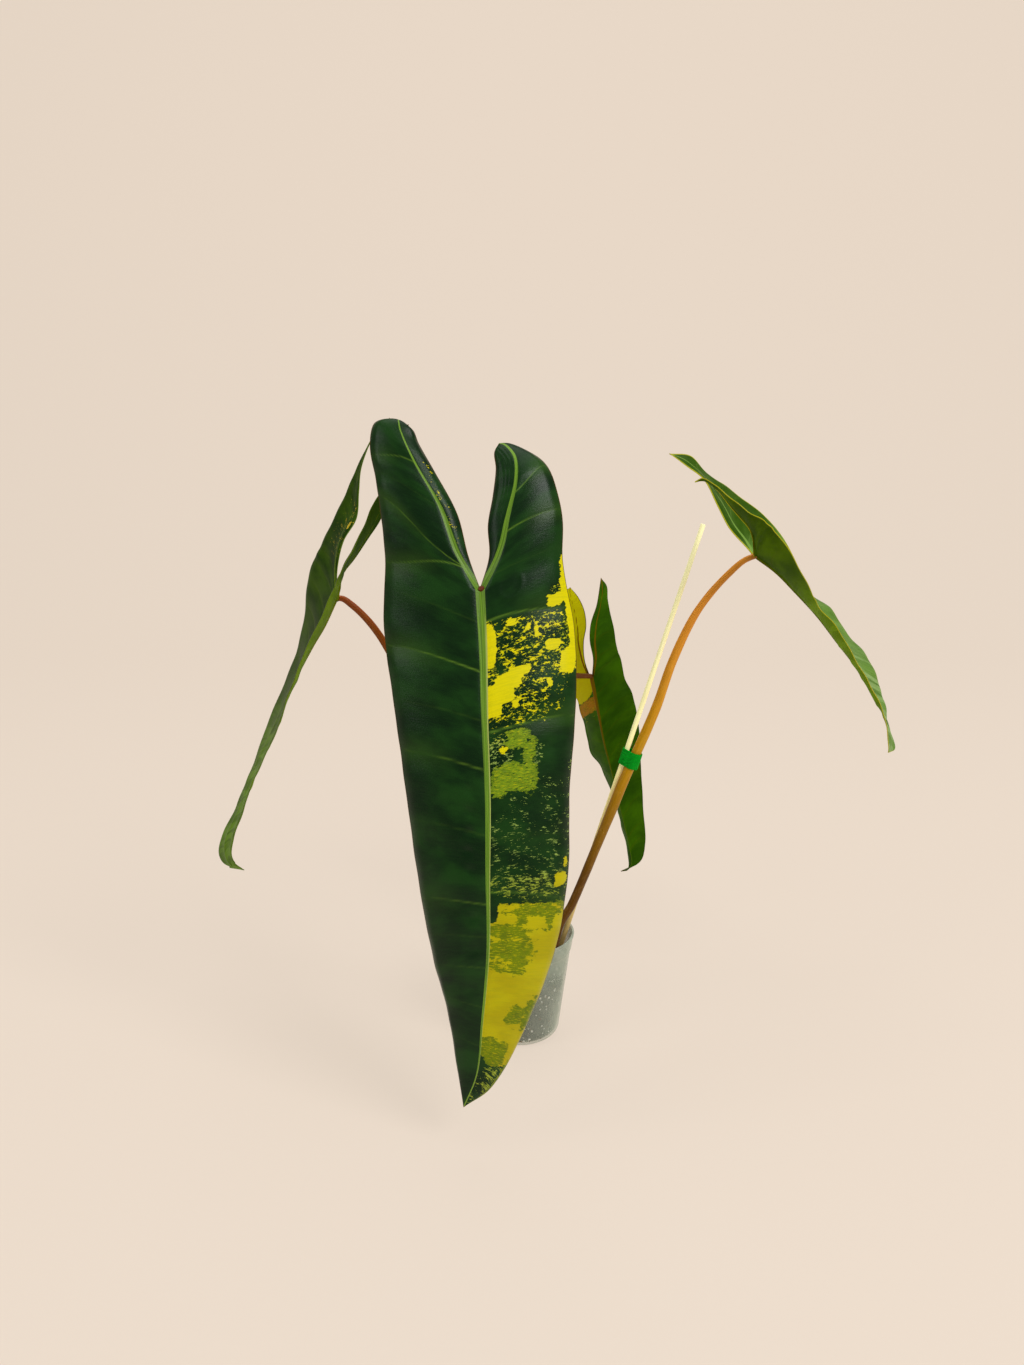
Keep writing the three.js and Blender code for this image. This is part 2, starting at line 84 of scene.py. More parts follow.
world = bpy.data.worlds.new("soft_room")
scene.world = world
world.use_nodes = True
world.node_tree.nodes["Background"].inputs["Color"].default_value = (1.0, 0.96, 0.92, 1.0)
world.node_tree.nodes["Background"].inputs["Strength"].default_value = 0.22

# ------------------------------------------------------------------ material helpers


def srgb(r, g, b):
    def channel(v):
        v = v / 255.0
        return v / 12.92 if v <= 0.04045 else ((v + 0.055) / 1.055) ** 2.4
    return (channel(r), channel(g), channel(b), 1.0)


class Finish:
    """One material and the few node moves that every finish here needs."""

    def __init__(self, name, roughness):
        self.material = bpy.data.materials.new(name)
        self.material.use_nodes = True
        self.tree = self.material.node_tree
        self.shader = self.tree.nodes["Principled BSDF"]
        self.shader.inputs["Roughness"].default_value = roughness

    def feed(self, socket, value):
        if isinstance(value, bpy.types.NodeSocket):
            self.tree.links.new(value, socket)
        elif value is not None:
            socket.default_value = value

    def node(self, kind, **settings):
        made = self.tree.nodes.new(kind)
        for label, value in settings.items():
            setattr(made, label, value)
        return made

    def math(self, operation, a, b):
        made = self.node("ShaderNodeMath", operation=operation)
        self.feed(made.inputs[0], a)
        self.feed(made.inputs[1], b)
        return made.outputs[0]

    def place(self, scale, source="object"):
        if source == "object":
            start = self.node("ShaderNodeTexCoord").outputs["Object"]
        else:
            start = self.node("ShaderNodeUVMap", uv_map=source).outputs["UV"]
        mapping = self.node("ShaderNodeMapping")
        self.feed(mapping.inputs["Vector"], start)
        mapping.inputs["Scale"].default_value = scale
        return mapping.outputs["Vector"]

    def noise(self, vector, scale=1.0, *, detail, roughness=0.55, distortion=0.0):
        made = self.node("ShaderNodeTexNoise")
        self.feed(made.inputs["Vector"], vector)
        made.inputs["Scale"].default_value = scale
        made.inputs["Detail"].default_value = detail
        made.inputs["Roughness"].default_value = roughness
        made.inputs["Distortion"].default_value = distortion
        return made.outputs["Fac"]

    def cells(self, vector, scale):
        made = self.node("ShaderNodeTexVoronoi")
        self.feed(made.inputs["Vector"], vector)
        made.inputs["Scale"].default_value = scale
        return made.outputs["Distance"]

    def attribute(self, name):
        return self.node("ShaderNodeAttribute", attribute_name=name).outputs["Fac"]

    def between(self, value, low, high, start=0.0, end=1.0):
        made = self.node("ShaderNodeMapRange", clamp=True, interpolation_type="SMOOTHSTEP")
        self.feed(made.inputs["Value"], value)
        made.inputs["From Min"].default_value = low
        made.inputs["From Max"].default_value = high
        made.inputs["To Min"].default_value = start
        made.inputs["To Max"].default_value = end
        return made.outputs["Result"]

    def mix(self, share, a, b):
        made = self.node("ShaderNodeMix", data_type="RGBA")
        self.feed(made.inputs[0], share)
        self.feed(made.inputs[6], a)
        self.feed(made.inputs[7], b)
        return made.outputs[2]

    def ramp(self, value, *stops):
        made = self.node("ShaderNodeValToRGB")
        self.feed(made.inputs["Fac"], value)
        band = made.color_ramp
        while len(band.elements) < len(stops):
            band.elements.new(0.5)
        for element, (spot, colour) in zip(band.elements, stops):
            element.position = spot
            element.color = colour
        return made.outputs["Color"]

    def bump(self, height, strength, distance):
        made = self.node("ShaderNodeBump")
        made.inputs["Strength"].default_value = strength
        made.inputs["Distance"].default_value = distance
        self.feed(made.inputs["Height"], height)
        return made.outputs["Normal"]

    def finish(self, colour, roughness=None, normal=None):
        self.feed(self.shader.inputs["Base Color"], colour)
        self.feed(self.shader.inputs["Roughness"], roughness)
        self.feed(self.shader.inputs["Normal"], normal)
        return self.material


# ------------------------------------------------------------------ modelling helpers


def only(*pieces):
    bpy.ops.object.select_all(action="DESELECT")
    for piece in pieces:
        piece.select_set(True)
    bpy.context.view_layer.objects.active = pieces[0]


def in_edit(piece, *steps):
    """Runs edit mode operators on everything in one piece."""
    only(piece)
    bpy.ops.object.mode_set(mode="EDIT")
    bpy.ops.mesh.select_all(action="SELECT")
    for step, settings in steps:
        step(**settings)
    bpy.ops.object.mode_set(mode="OBJECT")


def points_of(mesh):
    """The places of a mesh's points, one row each."""
    co = np.empty(len(mesh.vertices) * 3)
    mesh.vertices.foreach_get("co", co)
    return co.reshape(-1, 3)


def lay_points(mesh, points):
    mesh.vertices.foreach_set("co", np.ascontiguousarray(points, float).ravel())
    mesh.update()


def apply_modifier(piece, kind, **settings):
    only(piece)
    bpy.ops.object.modifier_add(type=kind)
    added = piece.modifiers[-1]
    for label, value in settings.items():
        setattr(added, label, value)
    bpy.ops.object.modifier_apply(modifier=added.name)


def join(*pieces):
    only(*pieces)
    bpy.ops.object.join()
    return bpy.context.view_layer.objects.active


def keep(piece, slot_name, *nodes, material=None, smooth=40.0):
    """Gives a piece its finish, its body and the CAD nodes that it stands for. Its slot_name is not used."""
    if material is not None:
        piece.data.materials.clear()
        piece.data.materials.append(material)
    only(piece)
    bpy.ops.object.shade_smooth_by_angle(angle=math.radians(smooth))
    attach(piece, "root")
    if nodes:
        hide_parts(*nodes)


def route(stations, share):
    """Points on a smooth curve through the stations, at shares from 0 to 1."""
    p = np.asarray(stations, float)
    p = np.vstack([2 * p[0] - p[1], p, 2 * p[-1] - p[-2]])
    share = np.atleast_1d(np.asarray(share, float))
    reach = np.clip(share, 0, 1) * (len(p) - 3)
    low = np.minimum(reach.astype(int), len(p) - 4)
    w = (reach - low)[:, None]
    p0, p1, p2, p3 = (p[low + i] for i in range(4))
    d0, d1, d2 = (
        np.sqrt(np.linalg.norm(b - a, axis=1))[:, None] + 1e-9 for a, b in ((p0, p1), (p1, p2), (p2, p3))
    )
    m1 = ((p1 - p0) / d0 - (p2 - p0) / (d0 + d1) + (p2 - p1) / d1) * d1
    m2 = ((p2 - p1) / d1 - (p3 - p1) / (d1 + d2) + (p3 - p2) / d2) * d1
    return (
        p1 * (2 * w**3 - 3 * w**2 + 1) + m1 * (w**3 - 2 * w**2 + w)
        + p2 * (3 * w**2 - 2 * w**3) + m2 * (w**3 - w**2)
    )


def grid_piece(name, rows, columns, shape):
    """A grid primitive whose points are then laid out by shape(u, v) in metres."""
    bpy.ops.object.select_all(action="DESELECT")
    bpy.ops.mesh.primitive_grid_add(x_subdivisions=columns, y_subdivisions=rows, size=1.0)
    piece = bpy.context.object
    piece.name = name
    piece.data.name = name
    u, v = points_of(piece.data)[:, :2].T + 0.5
    points, extras = shape(u, v)
    for label, values in extras.items():
        if label == "UV":
            continue
        layer = piece.data.attributes.new(label, "FLOAT", "POINT")
        layer.data.foreach_set("value", np.ascontiguousarray(values, np.float32))
    corners = np.empty(len(piece.data.loops), dtype=np.int32)
    piece.data.loops.foreach_get("vertex_index", corners)
    uv = extras.get("UV", np.stack([u, v], 1))
    piece.data.uv_layers[0].name = "grain"
    piece.data.uv_layers["grain"].data.foreach_set(
        "uv", np.ascontiguousarray(uv[corners], np.float32).ravel(),
    )
    lay_points(piece.data, points)
    return piece


def frames_along(centres):
    """A side and an up direction, square to the route, for each of its points."""
    forward = np.gradient(centres, axis=0)
    forward /= np.linalg.norm(forward, axis=1)[:, None]
    side = np.empty_like(forward)
    last = np.array([0.0, 1.0, 0.01])
    for i, f in enumerate(forward):
        last = last - last.dot(f) * f
        last /= np.linalg.norm(last)
        side[i] = last
    return side, np.cross(forward, side)


def bar(name, stations, radii, sides, rows, relief):
    """A capped round bar. relief(along, angle) gives the height of its surface in mm."""
    share = np.linspace(0, 1, rows + 1)
    centres = route(stations, share)
    side, up = frames_along(centres)
    radius = np.interp(share, np.linspace(0, 1, len(radii)), radii)
    lengths = np.concatenate([[0], np.cumsum(np.linalg.norm(np.diff(centres, axis=0), axis=1))])

    def shape(u, v):
        i = np.rint(v * rows).astype(int)
        angle = 2 * np.pi * u
        r = radius[i] + relief(lengths[i], angle)
        points = centres[i] + side[i] * (r * np.cos(angle))[:, None] + up[i] * (r * np.sin(angle))[:, None]
        uv = np.stack([u * 2 * np.pi * radius[i] / 10.0, lengths[i] / 10.0], 1)
        return points * MM, {"UV": uv, "along": v}

    piece = grid_piece(name, rows, sides, shape)
    in_edit(
        piece,
        (bpy.ops.mesh.remove_doubles, {"threshold": 0.00001}),
        (bpy.ops.mesh.fill_holes, {"sides": 0}),
        (bpy.ops.mesh.normals_make_consistent, {"inside": False}),
    )
    return piece


def waves(x, seed, *sizes):
    """A smooth wandering value made of a few sine waves."""
    local = np.random.default_rng(seed)
    total = 0.0
    for size in sizes:
        total = total + np.sin(2 * np.pi * x / size + local.uniform(0, TURN)) * local.uniform(0.6, 1.0)
    return total / len(sizes)


# ------------------------------------------------------------------ leaves

# A leaf is given in mm: the side that its upper face looks to, how far it bulges, and its rib and
# two margins from tip to notch. A lobe goes on from the notch, along its inner edge and its outer
# one, to its end. Its rib is a share of the way across it.
LEAF_FRONT = {
    "facing": (0, -1, 0.2),
    "swell": 5,
    "rib": [
        (-38, -158, 32), (-29, -160, 58), (-25, -160, 97), (-21, -157, 147), (-21, -151, 193),
        (-21, -141, 244), (-23, -128, 297), (-24, -116, 337), (-26, -105, 373),
    ],
    "left": [
        (-38, -158, 32), (-42, -155, 55), (-49, -151, 98), (-59, -146, 138), (-68, -138, 190),
        (-76, -126, 249), (-84, -111, 305), (-90, -97, 347), (-89, -88, 391),
    ],
    "right": [
        (-38, -158, 32), (-18, -156, 46), (5, -150, 88), (24, -143, 140), (32, -136, 190),
        (33, -125, 245), (37, -111, 302), (36, -98, 347), (28, -90, 391),
    ],
    "left_lobe": {
        "inner": [(-34, -98, 395), (-41, -89, 421), (-56, -80, 448), (-66, -73, 465), (-70.5, -70, 474)],
        "outer": [(-91, -84, 417), (-94, -80, 441), (-98, -73, 464), (-95, -68, 478), (-87.5, -66, 480)],
        "end": (-81, -67, 477),
        "rib": [0.0, 0.12, 0.2, 0.3, 0.38, 0.5, 0.55],
    },
    "right_lobe": {
        "inner": [(-20, -98, 395), (-21, -91, 414), (-18, -84, 432), (-16, -77, 449), (-17, -70, 459)],
        "outer": [(28, -86, 415), (24, -81, 435), (18, -75, 450), (8, -69, 459), (-6, -64, 464)],
        "end": (-14, -65, 464),
        "rib": [0.0, 0.13, 0.29, 0.41, 0.51, 0.61, 0.62],
    },
}

LEAF_LEFT = {
    "facing": (-1, 0, 0.4),
    "swell": -2,
    "rib": [
        (-209, -14, 141), (-219, -18, 148), (-222, -18, 163), (-210, -16, 192), (-196, -15, 226),
        (-182, -15, 254), (-167, -14, 286), (-151, -14, 316), (-142, -14, 331), (-133, -14, 350),
    ],
    "left": [
        (-209, -14, 141), (-228, -4, 143), (-233, 6, 153), (-221, 15, 181), (-209, 23, 209),
        (-194, 29, 249), (-175, 33, 292), (-164, 35, 331), (-162, 36, 352), (-156, 36, 371),
    ],
    "right": [
        (-209, -14, 141), (-214, -26, 154), (-213, -36, 170), (-201, -46, 203), (-188, -55, 234),
        (-171, -62, 267), (-160, -66, 297), (-146, -67, 329), (-136, -64, 350), (-128, -60, 367),
    ],
    "left_lobe": {
        "inner": [(-133, 0, 373), (-129, 8, 390), (-120, 14, 405), (-118, 20, 423), (-116, 26, 440)],
        "outer": [(-150, 37, 382), (-142, 38, 399), (-132, 38, 417), (-125, 36, 431), (-118, 33, 444)],
        "end": (-108, 30, 461),
    },
    "right_lobe": {
        "inner": [(-126, -26, 371), (-116, -36, 384), (-105, -43, 399), (-96, -47, 411), (-91, -49, 421)],
        "outer": [(-121, -64, 381), (-113, -66, 396), (-105, -64, 410), (-100, -60, 422), (-94, -54, 430)],
        "end": (-88, -50, 429),
    },
}

LEAF_RIGHT = {
    "facing": (1, 0, 0.8),
    "swell": -2,
    "rib": [
        (281, 10, 227), (282, 9, 237), (278, 8, 252), (267, 7, 270), (251, 5, 295),
        (235, 4, 315), (219, 3, 335), (202, 2, 353), (187, 1, 368), (171, 0, 380),
    ],
    "left": [
        (281, 10, 227), (278, 2, 238), (273, -6, 256), (262, -16, 278), (244, -28, 306),
        (226, -38, 332), (208, -46, 353), (200, -52, 365), (188, -56, 385), (173, -58, 406),
    ],
    "right": [
        (281, 10, 227), (289, 18, 228), (284, 24, 245), (282, 30, 262), (278, 36, 277),
        (269, 40, 296), (254, 43, 313), (240, 45, 332), (225, 46, 344), (209, 46, 373),
    ],
    "left_lobe": {
        "inner": [(163, -18, 401), (154, -26, 411), (145, -33, 420), (135, -38, 431), (126, -41, 437)],
        "outer": [(163, -58, 414), (152, -57, 421), (142, -55, 428), (131, -51, 436), (123, -47, 440)],
        "end": (118, -44, 437),
    },
    "right_lobe": {
        "inner": [(165, 12, 386), (154, 14, 398), (145, 16, 414), (134, 17, 433), (121, 18, 442)],
        "outer": [(192, 44, 397), (174, 42, 412), (155, 38, 426), (138, 31, 436), (125, 24, 449)],
        "end": (108, 18, 451),
    },
}

LEAF_BACK = {
    "facing": (0, 1, 0.3),
    "swell": -2,
    "rib": [
        (91, 130, 78), (100, 132, 83), (99, 133, 97), (94, 135, 119), (88, 137, 143),
        (82, 140, 167), (75, 143, 193), (70, 146, 218), (66, 148, 237), (63, 150, 251),
    ],
    "left": [
        (91, 130, 78), (108, 132, 87), (112, 134, 104), (110, 138, 131), (108, 143, 161),
        (106, 149, 190), (104, 155, 214), (99, 160, 233), (92, 162, 248), (88, 163, 266),
    ],
    "right": [
        (91, 130, 78), (98, 136, 78), (98, 142, 91), (94, 150, 111), (88, 158, 132),
        (77, 166, 160), (65, 172, 179), (60, 176, 202), (55, 176, 219), (49, 174, 231),
    ],
    "left_lobe": {
        "inner": [(64, 152, 266), (61, 154, 282), (62, 158, 296), (67, 162, 311), (69, 164, 322)],
        "outer": [(86, 163, 271), (83, 164, 285), (80, 166, 301), (77, 167, 315), (76, 168, 327)],
        "end": (71, 168, 334),
    },
    "right_lobe": {
        "inner": [(58, 152, 265), (57, 156, 280), (59, 160, 294), (57, 164, 307), (52, 168, 317)],
        "outer": [(43, 172, 253), (37, 172, 269), (34, 172, 287), (34, 172, 305), (37, 172, 319)],
        "end": (45, 172, 325),
    },
}

LOBE_RIB = [0.0, 0.09, 0.2, 0.28, 0.35, 0.42, 0.5]     # the rib's place across a lobe, from notch to end
BLADE_LENGTH, HALF_WIDTH = 35.0, 5.8                   # cm, the blade that patches are placed on
PATCH_REACH = 0.7                                      # cm, as far inside or outside a patch as is told


def nowhere(f):
    """The answer of a patch that no point is near."""
    return np.full_like(f, -PATCH_REACH)


def zone(f, s, *spots):
    """How far inside the nearest of a few rounded patches each point lies, in cm.

    f runs from notch to tip and s from rib to margin. A spot is its middle and its
    half sizes, as shares of the blade's length and half width.
    """
    best = nowhere(f)
    for middle_f, middle_s, half_f, half_s in spots:
        d = (np.abs((f - middle_f) / half_f) ** 3 + np.abs((s - middle_s) / half_s) ** 3) ** (1 / 3)
        best = np.maximum(best, (1 - d) * min(BLADE_LENGTH * half_f, HALF_WIDTH * half_s))
    return np.clip(best, -PATCH_REACH, PATCH_REACH)


def front_colouring(side, f, s):
    """Where the front leaf is yellow, lime, speckled or kept green.

    Each is told in cm inside a patch, apart from the specks, which have a share from 0 to 1.
    """
    none = nowhere(f)
    if side == "left":
        traces = zone(f, s, (-0.262, 0.1, 0.014, 0.06), (-0.22, 0.14, 0.05, 0.035), (-0.15, 0.1, 0.05, 0.03))
        return none, none, 0.32 * np.clip(traces * 8 + 0.5, 0, 1), none
    below_vein = (f - 0.061 - 0.013 * s) * BLADE_LENGTH
    yellow = zone(
        f, s, (0.02, 1.0, 0.028, 0.045), (0.05, 1.0, 0.03, 0.085), (0.056, 0.84, 0.009, 0.12),
        (0.11, 1.0, 0.05, 0.085), (0.157, 0.89, 0.022, 0.09), (0.105, 0.05, 0.041, 0.085),
        (0.158, 0.36, 0.009, 0.11), (0.174, 0.24, 0.016, 0.14), (0.193, 0.16, 0.02, 0.14),
        (0.216, 0.09, 0.02, 0.09), (0.124, 0.73, 0.01, 0.08), (0.097, 0.56, 0.015, 0.022),
        (0.072, 0.3, 0.006, 0.05), (0.086, 0.48, 0.007, 0.03), (0.19, 0.68, 0.009, 0.03),
        (0.214, 0.31, 0.006, 0.04), (0.295, 0.18, 0.006, 0.05), (0.536, 0.88, 0.013, 0.09),
        (0.507, 0.94, 0.009, 0.03), (0.729, 0.5, 0.154, 0.95),
    )
    lime = zone(
        f, s, (0.278, 0.33, 0.018, 0.12), (0.3, 0.46, 0.02, 0.07), (0.345, 0.3, 0.026, 0.25),
        (0.366, 0.12, 0.014, 0.1), (0.364, 0.47, 0.013, 0.06), (0.588, 0.62, 0.012, 0.33),
        (0.604, 0.79, 0.016, 0.06), (0.602, 0.41, 0.014, 0.07), (0.628, 0.24, 0.014, 0.27),
        (0.662, 0.3, 0.02, 0.32), (0.688, 0.42, 0.018, 0.13), (0.697, 0.12, 0.006, 0.14),
        (0.786, 0.6, 0.02, 0.19), (0.782, 0.88, 0.03, 0.12), (0.862, 0.34, 0.026, 0.36),
        (0.93, 0.92, 0.06, 0.12),
    )
    dense = np.minimum(
        zone(f, s, (0.12, 0.45, 0.062, 0.5), (0.2, 0.35, 0.045, 0.32), (0.235, 0.38, 0.02, 0.34)),
        below_vein,
    )
    dense = np.maximum(dense, zone(
        f, s, (0.044, 0.86, 0.012, 0.07), (0.3, 0.13, 0.035, 0.14), (0.31, 0.5, 0.02, 0.12),
        (0.54, 0.5, 0.026, 0.6), (0.91, 0.55, 0.03, 0.4), (0.23, 0.78, 0.009, 0.06),
        (0.44, 0.98, 0.09, 0.03),
    ))
    sparse = zone(
        f, s, (0.395, 0.34, 0.02, 0.13), (0.445, 0.26, 0.03, 0.26), (0.45, 0.8, 0.08, 0.18),
        (0.37, 0.68, 0.02, 0.1), (0.5, 0.45, 0.04, 0.5), (0.95, 0.5, 0.05, 0.5), (0.185, 0.8, 0.02, 0.08),
    )
    speckled = np.maximum(np.clip(dense * 4 + 0.4, 0, 1), 0.5 * np.clip(sparse * 3 + 0.5, 0, 1))
    green = zone(f, s, (0.588, 0.03, 0.026, 0.085))
    return yellow, lime, speckled, green


def plain_colouring(side, f, s):
    """A leaf, or half of one, with no patches."""
    none = nowhere(f)
    return none, none, np.zeros_like(f), none


def left_colouring(side, f, s):
    if side == "right":
        return plain_colouring(side, f, s)
    none = nowhere(f)
    speckled = zone(f, s, (-0.24, 0.3, 0.1, 0.4))
    return zone(f, s, (-0.262, 0.12, 0.014, 0.05)), none, 0.2 * np.clip(speckled * 3 + 0.3, 0, 1), none


def back_colouring(side, f, s):
    if side == "left":
        return plain_colouring(side, f, s)
    rust = zone(f, s, (0.125, 0.6, 0.035, 0.9))
    return zone(f, s, (-0.2, 0.6, 0.29, 0.9)), rust, 0.5 * np.clip((0.2 - f) * 20, 0, 1), nowhere(f)


def even_veins(length, spacing, seed):
    """Side veins at nearly even spaces: each is its place at the rib, at the margin, and its strength."""
    local = np.random.default_rng(seed)
    count = int(1.4 * length / spacing)
    places = np.linspace(-0.38, 0.98, count) + local.uniform(-0.25, 0.25, count) * spacing / length
    return [(place, place - 0.02, local.uniform(0.6, 1.0)) for place in places]


# the rib's size along the blade: places from notch to tip, and shares of its size at the notch
RIB_TAPER = (-0.35, -0.2, 0.0, 0.25, 0.6, 0.85, 1.0), (0.15, 0.45, 1.0, 0.68, 0.4, 0.2, 0.12)


def facing_up(leaf, start, end):
    """Directions square to the blade between two rails, on the side of its upper face."""
    up = np.cross(end - start, np.gradient(start + end, axis=0))
    up /= np.linalg.norm(up, axis=1)[:, None] + 1e-9
    return up * np.sign(up @ np.array(leaf["facing"], float))[:, None]


def vein_marks(veins, blade_length, bent, reach, past_rib):
    """How strongly each point lies on a vein, in the dip along it and in the pale band beside it.

    bent is the distance from the notch along the veins' own curve, and reach runs from
    0 at the rib to 1 at the margin. past_rib keeps a lobe's veins off its inner side.
    """
    line, swell, glow = np.zeros_like(bent), np.zeros_like(bent), np.zeros_like(bent)
    for at_rib, at_margin, power in veins:
        course = (at_rib + (at_margin - at_rib) * reach * reach * (3 - 2 * reach)) * blade_length
        gap = np.abs(bent - course) + past_rib
        thread = np.exp(-((gap / (0.62 - 0.3 * reach)) ** 2)) * np.clip(1.15 - reach, 0, 1)
        line = np.maximum(line, power * thread)
        swell += power * np.exp(-((gap / 7.0) ** 2)) + 0.35 * power * np.exp(-((gap / 1.5) ** 2))
        band = np.exp(-((gap / 8.0) ** 2)) * np.clip((reach - 0.3) / 0.4, 0, 1)
        glow = np.maximum(glow, power * band)
    return line, swell, glow


def fold_marks(side, f, along, offset, lobe_side):
    """The dented leaf's ring by the notch and fine pleats on one half, and its long crease on the other."""
    if side == "right":
        far = np.hypot(along - 3, offset - 20)
        ring = 0.35 * np.exp(-(((far - 8) / 1.3) ** 2)) * (along > -2)
        return ring + 0.16 * np.sin(offset * 2.4) * lobe_side
    return -0.14 * np.exp(-(((offset - 19 + 12 * f) / 0.7) ** 2)) * (f > 0.12) * (f < 0.45)


def blade_half(name, leaf, side, colouring, per_station, columns, style):
    """One side of a blade from tip to lobe end, as a grid between its rib and its margin."""
    rib, lobe = leaf["rib"], leaf[side + "_lobe"]
    blade_spans, lobe_spans = len(rib) - 1, len(lobe["inner"]) + 1
    notch_row, lobe_rows = blade_spans * per_station, lobe_spans * (per_station * 2 // 3)
    rows = notch_row + lobe_rows
    k = np.concatenate([
        np.linspace(0, blade_spans, notch_row + 1)[:-1],
        np.linspace(blade_spans, blade_spans + lobe_spans, lobe_rows + 1),
    ])
    on_lobe = k > blade_spans
    start = np.where(
        on_lobe[:, None],
        route([rib[-1], *lobe["inner"], lobe["end"]], (k - blade_spans) / lobe_spans),
        route(rib, k / blade_spans),
    )
    end = route([*leaf[side], *lobe["outer"], lobe["end"]], k / (blade_spans + lobe_spans))
    rib_share = np.interp(k, blade_spans + np.arange(len(LOBE_RIB)), lobe.get("rib", LOBE_RIB)) * on_lobe
    across = end - start
    width = np.linalg.norm(across, axis=1)
    line = start + across * rib_share[:, None]
    steps = np.concatenate([[0], np.cumsum(np.linalg.norm(np.diff(line, axis=0), axis=1))])
    blade_length = steps[notch_row]
    from_notch = blade_length - steps
    up = facing_up(leaf, start, end)
    far_rail = leaf["left" if side == "right" else "right"]
    other = route(far_rail, np.minimum(k / blade_spans, 1.0))
    spine_up = up + facing_up(leaf, start, other)
    spine_up = np.where(on_lobe[:, None], up, spine_up / (np.linalg.norm(spine_up, axis=1)[:, None] + 1e-9))
    sign = 1.0 if side == "right" else -1.0
    seed = style["seed"] + (side == "left")
    veins = style["veins"][side] if "veins" in style else even_veins(blade_length, style["spacing"], seed)

    def shape(u, v):
        i = np.rint(v * rows).astype(int)
        s, w, along = u, width[i], from_notch[i]
        f = along / blade_length
        offset = (s - rib_share[i]) * w
        d = np.abs(offset)
        edge = np.where(on_lobe[i], np.minimum(s, 1 - s), 1 - s) * w
        rib_size = style["rib"] * np.interp(f, *RIB_TAPER)
        channel = np.exp(-((d / (0.8 * rib_size)) ** 2))
        reach = np.clip(d / np.maximum((1 - rib_share[i]) * w, 6), 0, 1)
        bent = along + style["bend"] * 4 * reach * (1 - reach)
        past_rib = np.where(offset < 0, 30.0, 0.0) * on_lobe[i]
        line, swell, glow = vein_marks(veins, blade_length, bent, reach, past_rib)
        fade = np.clip(d / 6, 0, 1) * np.clip(edge / 8, 0, 1)
        rise = leaf["swell"] * np.minimum(1, w / 40) * 4 * s * (1 - s)
        depth_share = np.clip(rib_size / 3, 0.15, 1) ** 2
        furrow = style["groove"] * channel * depth_share
        shoulder = np.exp(-(((d - 2.0 * rib_size) / (1.2 * rib_size)) ** 2))
        rise = rise + style["groove"] * 0.3 * shoulder * np.clip(w / 20, 0, 1) * depth_share
        rise = rise - style["quilt"] * fade * swell
        inner_rim = np.where(on_lobe[i], np.clip((0.12 - s) / 0.12, 0, 1) ** 2, 0.0)
        rim = np.clip((s - 0.86) / 0.14, 0, 1) ** 2 + inner_rim
        rise = rise - style["roll"] * rim * np.clip(w / 30, 0, 1)
        rise = rise + style["ruffle"] * s**3 * np.clip(w / 25, 0, 1) * waves(along, seed + 5, 58, 37, 23)
        wave = waves(along + 9 * s, style["seed"] + 11, 44, 29) * np.sin(np.pi * s)
        rise = rise + style["wave"] * np.clip(w / 30, 0, 1) * wave
        for dent_side, dent_f, dent_offset, size, depth in style["dents"]:
            if dent_side == side:
                far = np.hypot((f - dent_f) * blade_length, offset - dent_offset)
                rise = rise - depth * np.exp(-((far / size) ** 2))
        if style["dents"]:
            lobe_side = on_lobe[i] * np.clip(-offset / 3, 0, 1) * fade
            rise = rise + fold_marks(side, f, along, offset, lobe_side)
        away = np.where(on_lobe[i], 1.0, np.clip(d / 2.0, 0, 1))[:, None]
        rise = (rise * away[:, 0] - furrow)[:, None]
        points = start[i] + across[i] * s[:, None] + (spine_up[i] * (1 - away) + up[i] * away) * rise
        yellow, lime, speckled, green = colouring(side, f, s)
        uv = np.stack([sign * offset, bent], 1) / 10.0
        keel = np.exp(-((d / (0.75 * rib_size + 0.3)) ** 2)) * np.clip(rib_size / style["rib"], 0.1, 1)
        return points * MM, {
            "UV": uv, "rib": d / rib_size, "vein": line * (d > rib_size * 0.7), "glow": glow, "margin": edge,
            "yellow": yellow, "lime": lime, "speckled": speckled, "kept_green": green, "notch": f,
            "yellow_side": np.clip((f - 0.04) * 20, 0, 1) * (side == "right"),
            "heft": 0.2 + 0.75 * keel,
        }

    piece = grid_piece(name + "_" + side, rows, columns, shape)
    if side == "left":
        in_edit(piece, (bpy.ops.mesh.flip_normals, {}))
    return piece


KEEL_THICKNESS = 2.4     # mm where a leaf's heft is 1; away from the rib its heft is 0.2


def leaf(name, form, colouring, upper, under, slot_name, per_station, columns, **style):
    """Two lofted halves joined at the rib, then thickened with a keel under the rib."""
    settings = {"roll": 1.0, "spacing": 17.0, "dents": ()} | style
    halves = [
        blade_half(name, form, side, colouring, per_station, columns, settings) for side in ("left", "right")
    ]
    piece = join(*halves)
    piece.name = name
    piece.data.name = name
    in_edit(
        piece,
        (bpy.ops.mesh.remove_doubles, {"threshold": 0.00002}),
        (bpy.ops.mesh.dissolve_degenerate, {"threshold": 0.00001}),
    )
    total = np.zeros(3)
    for face in piece.data.polygons:
        total += np.array(face.normal) * face.area
    if total @ np.array(form["facing"], float) < 0:
        in_edit(piece, (bpy.ops.mesh.flip_normals, {}))
    group = piece.vertex_groups.new(name="heft")
    values = np.empty(len(piece.data.vertices), np.float32)
    piece.data.attributes["heft"].data.foreach_get("value", values)
    for i, value in enumerate(values):
        group.add([i], float(min(value, 1.0)), "REPLACE")
    piece.data.materials.append(upper)
    piece.data.materials.append(under)
    apply_modifier(
        piece, "SOLIDIFY", thickness=KEEL_THICKNESS * MM, offset=-1.0, vertex_group="heft",
        thickness_vertex_group=0.0, use_even_offset=False, material_offset=1, material_offset_rim=0,
    )
    keep(piece, slot_name, name, smooth=60.0)


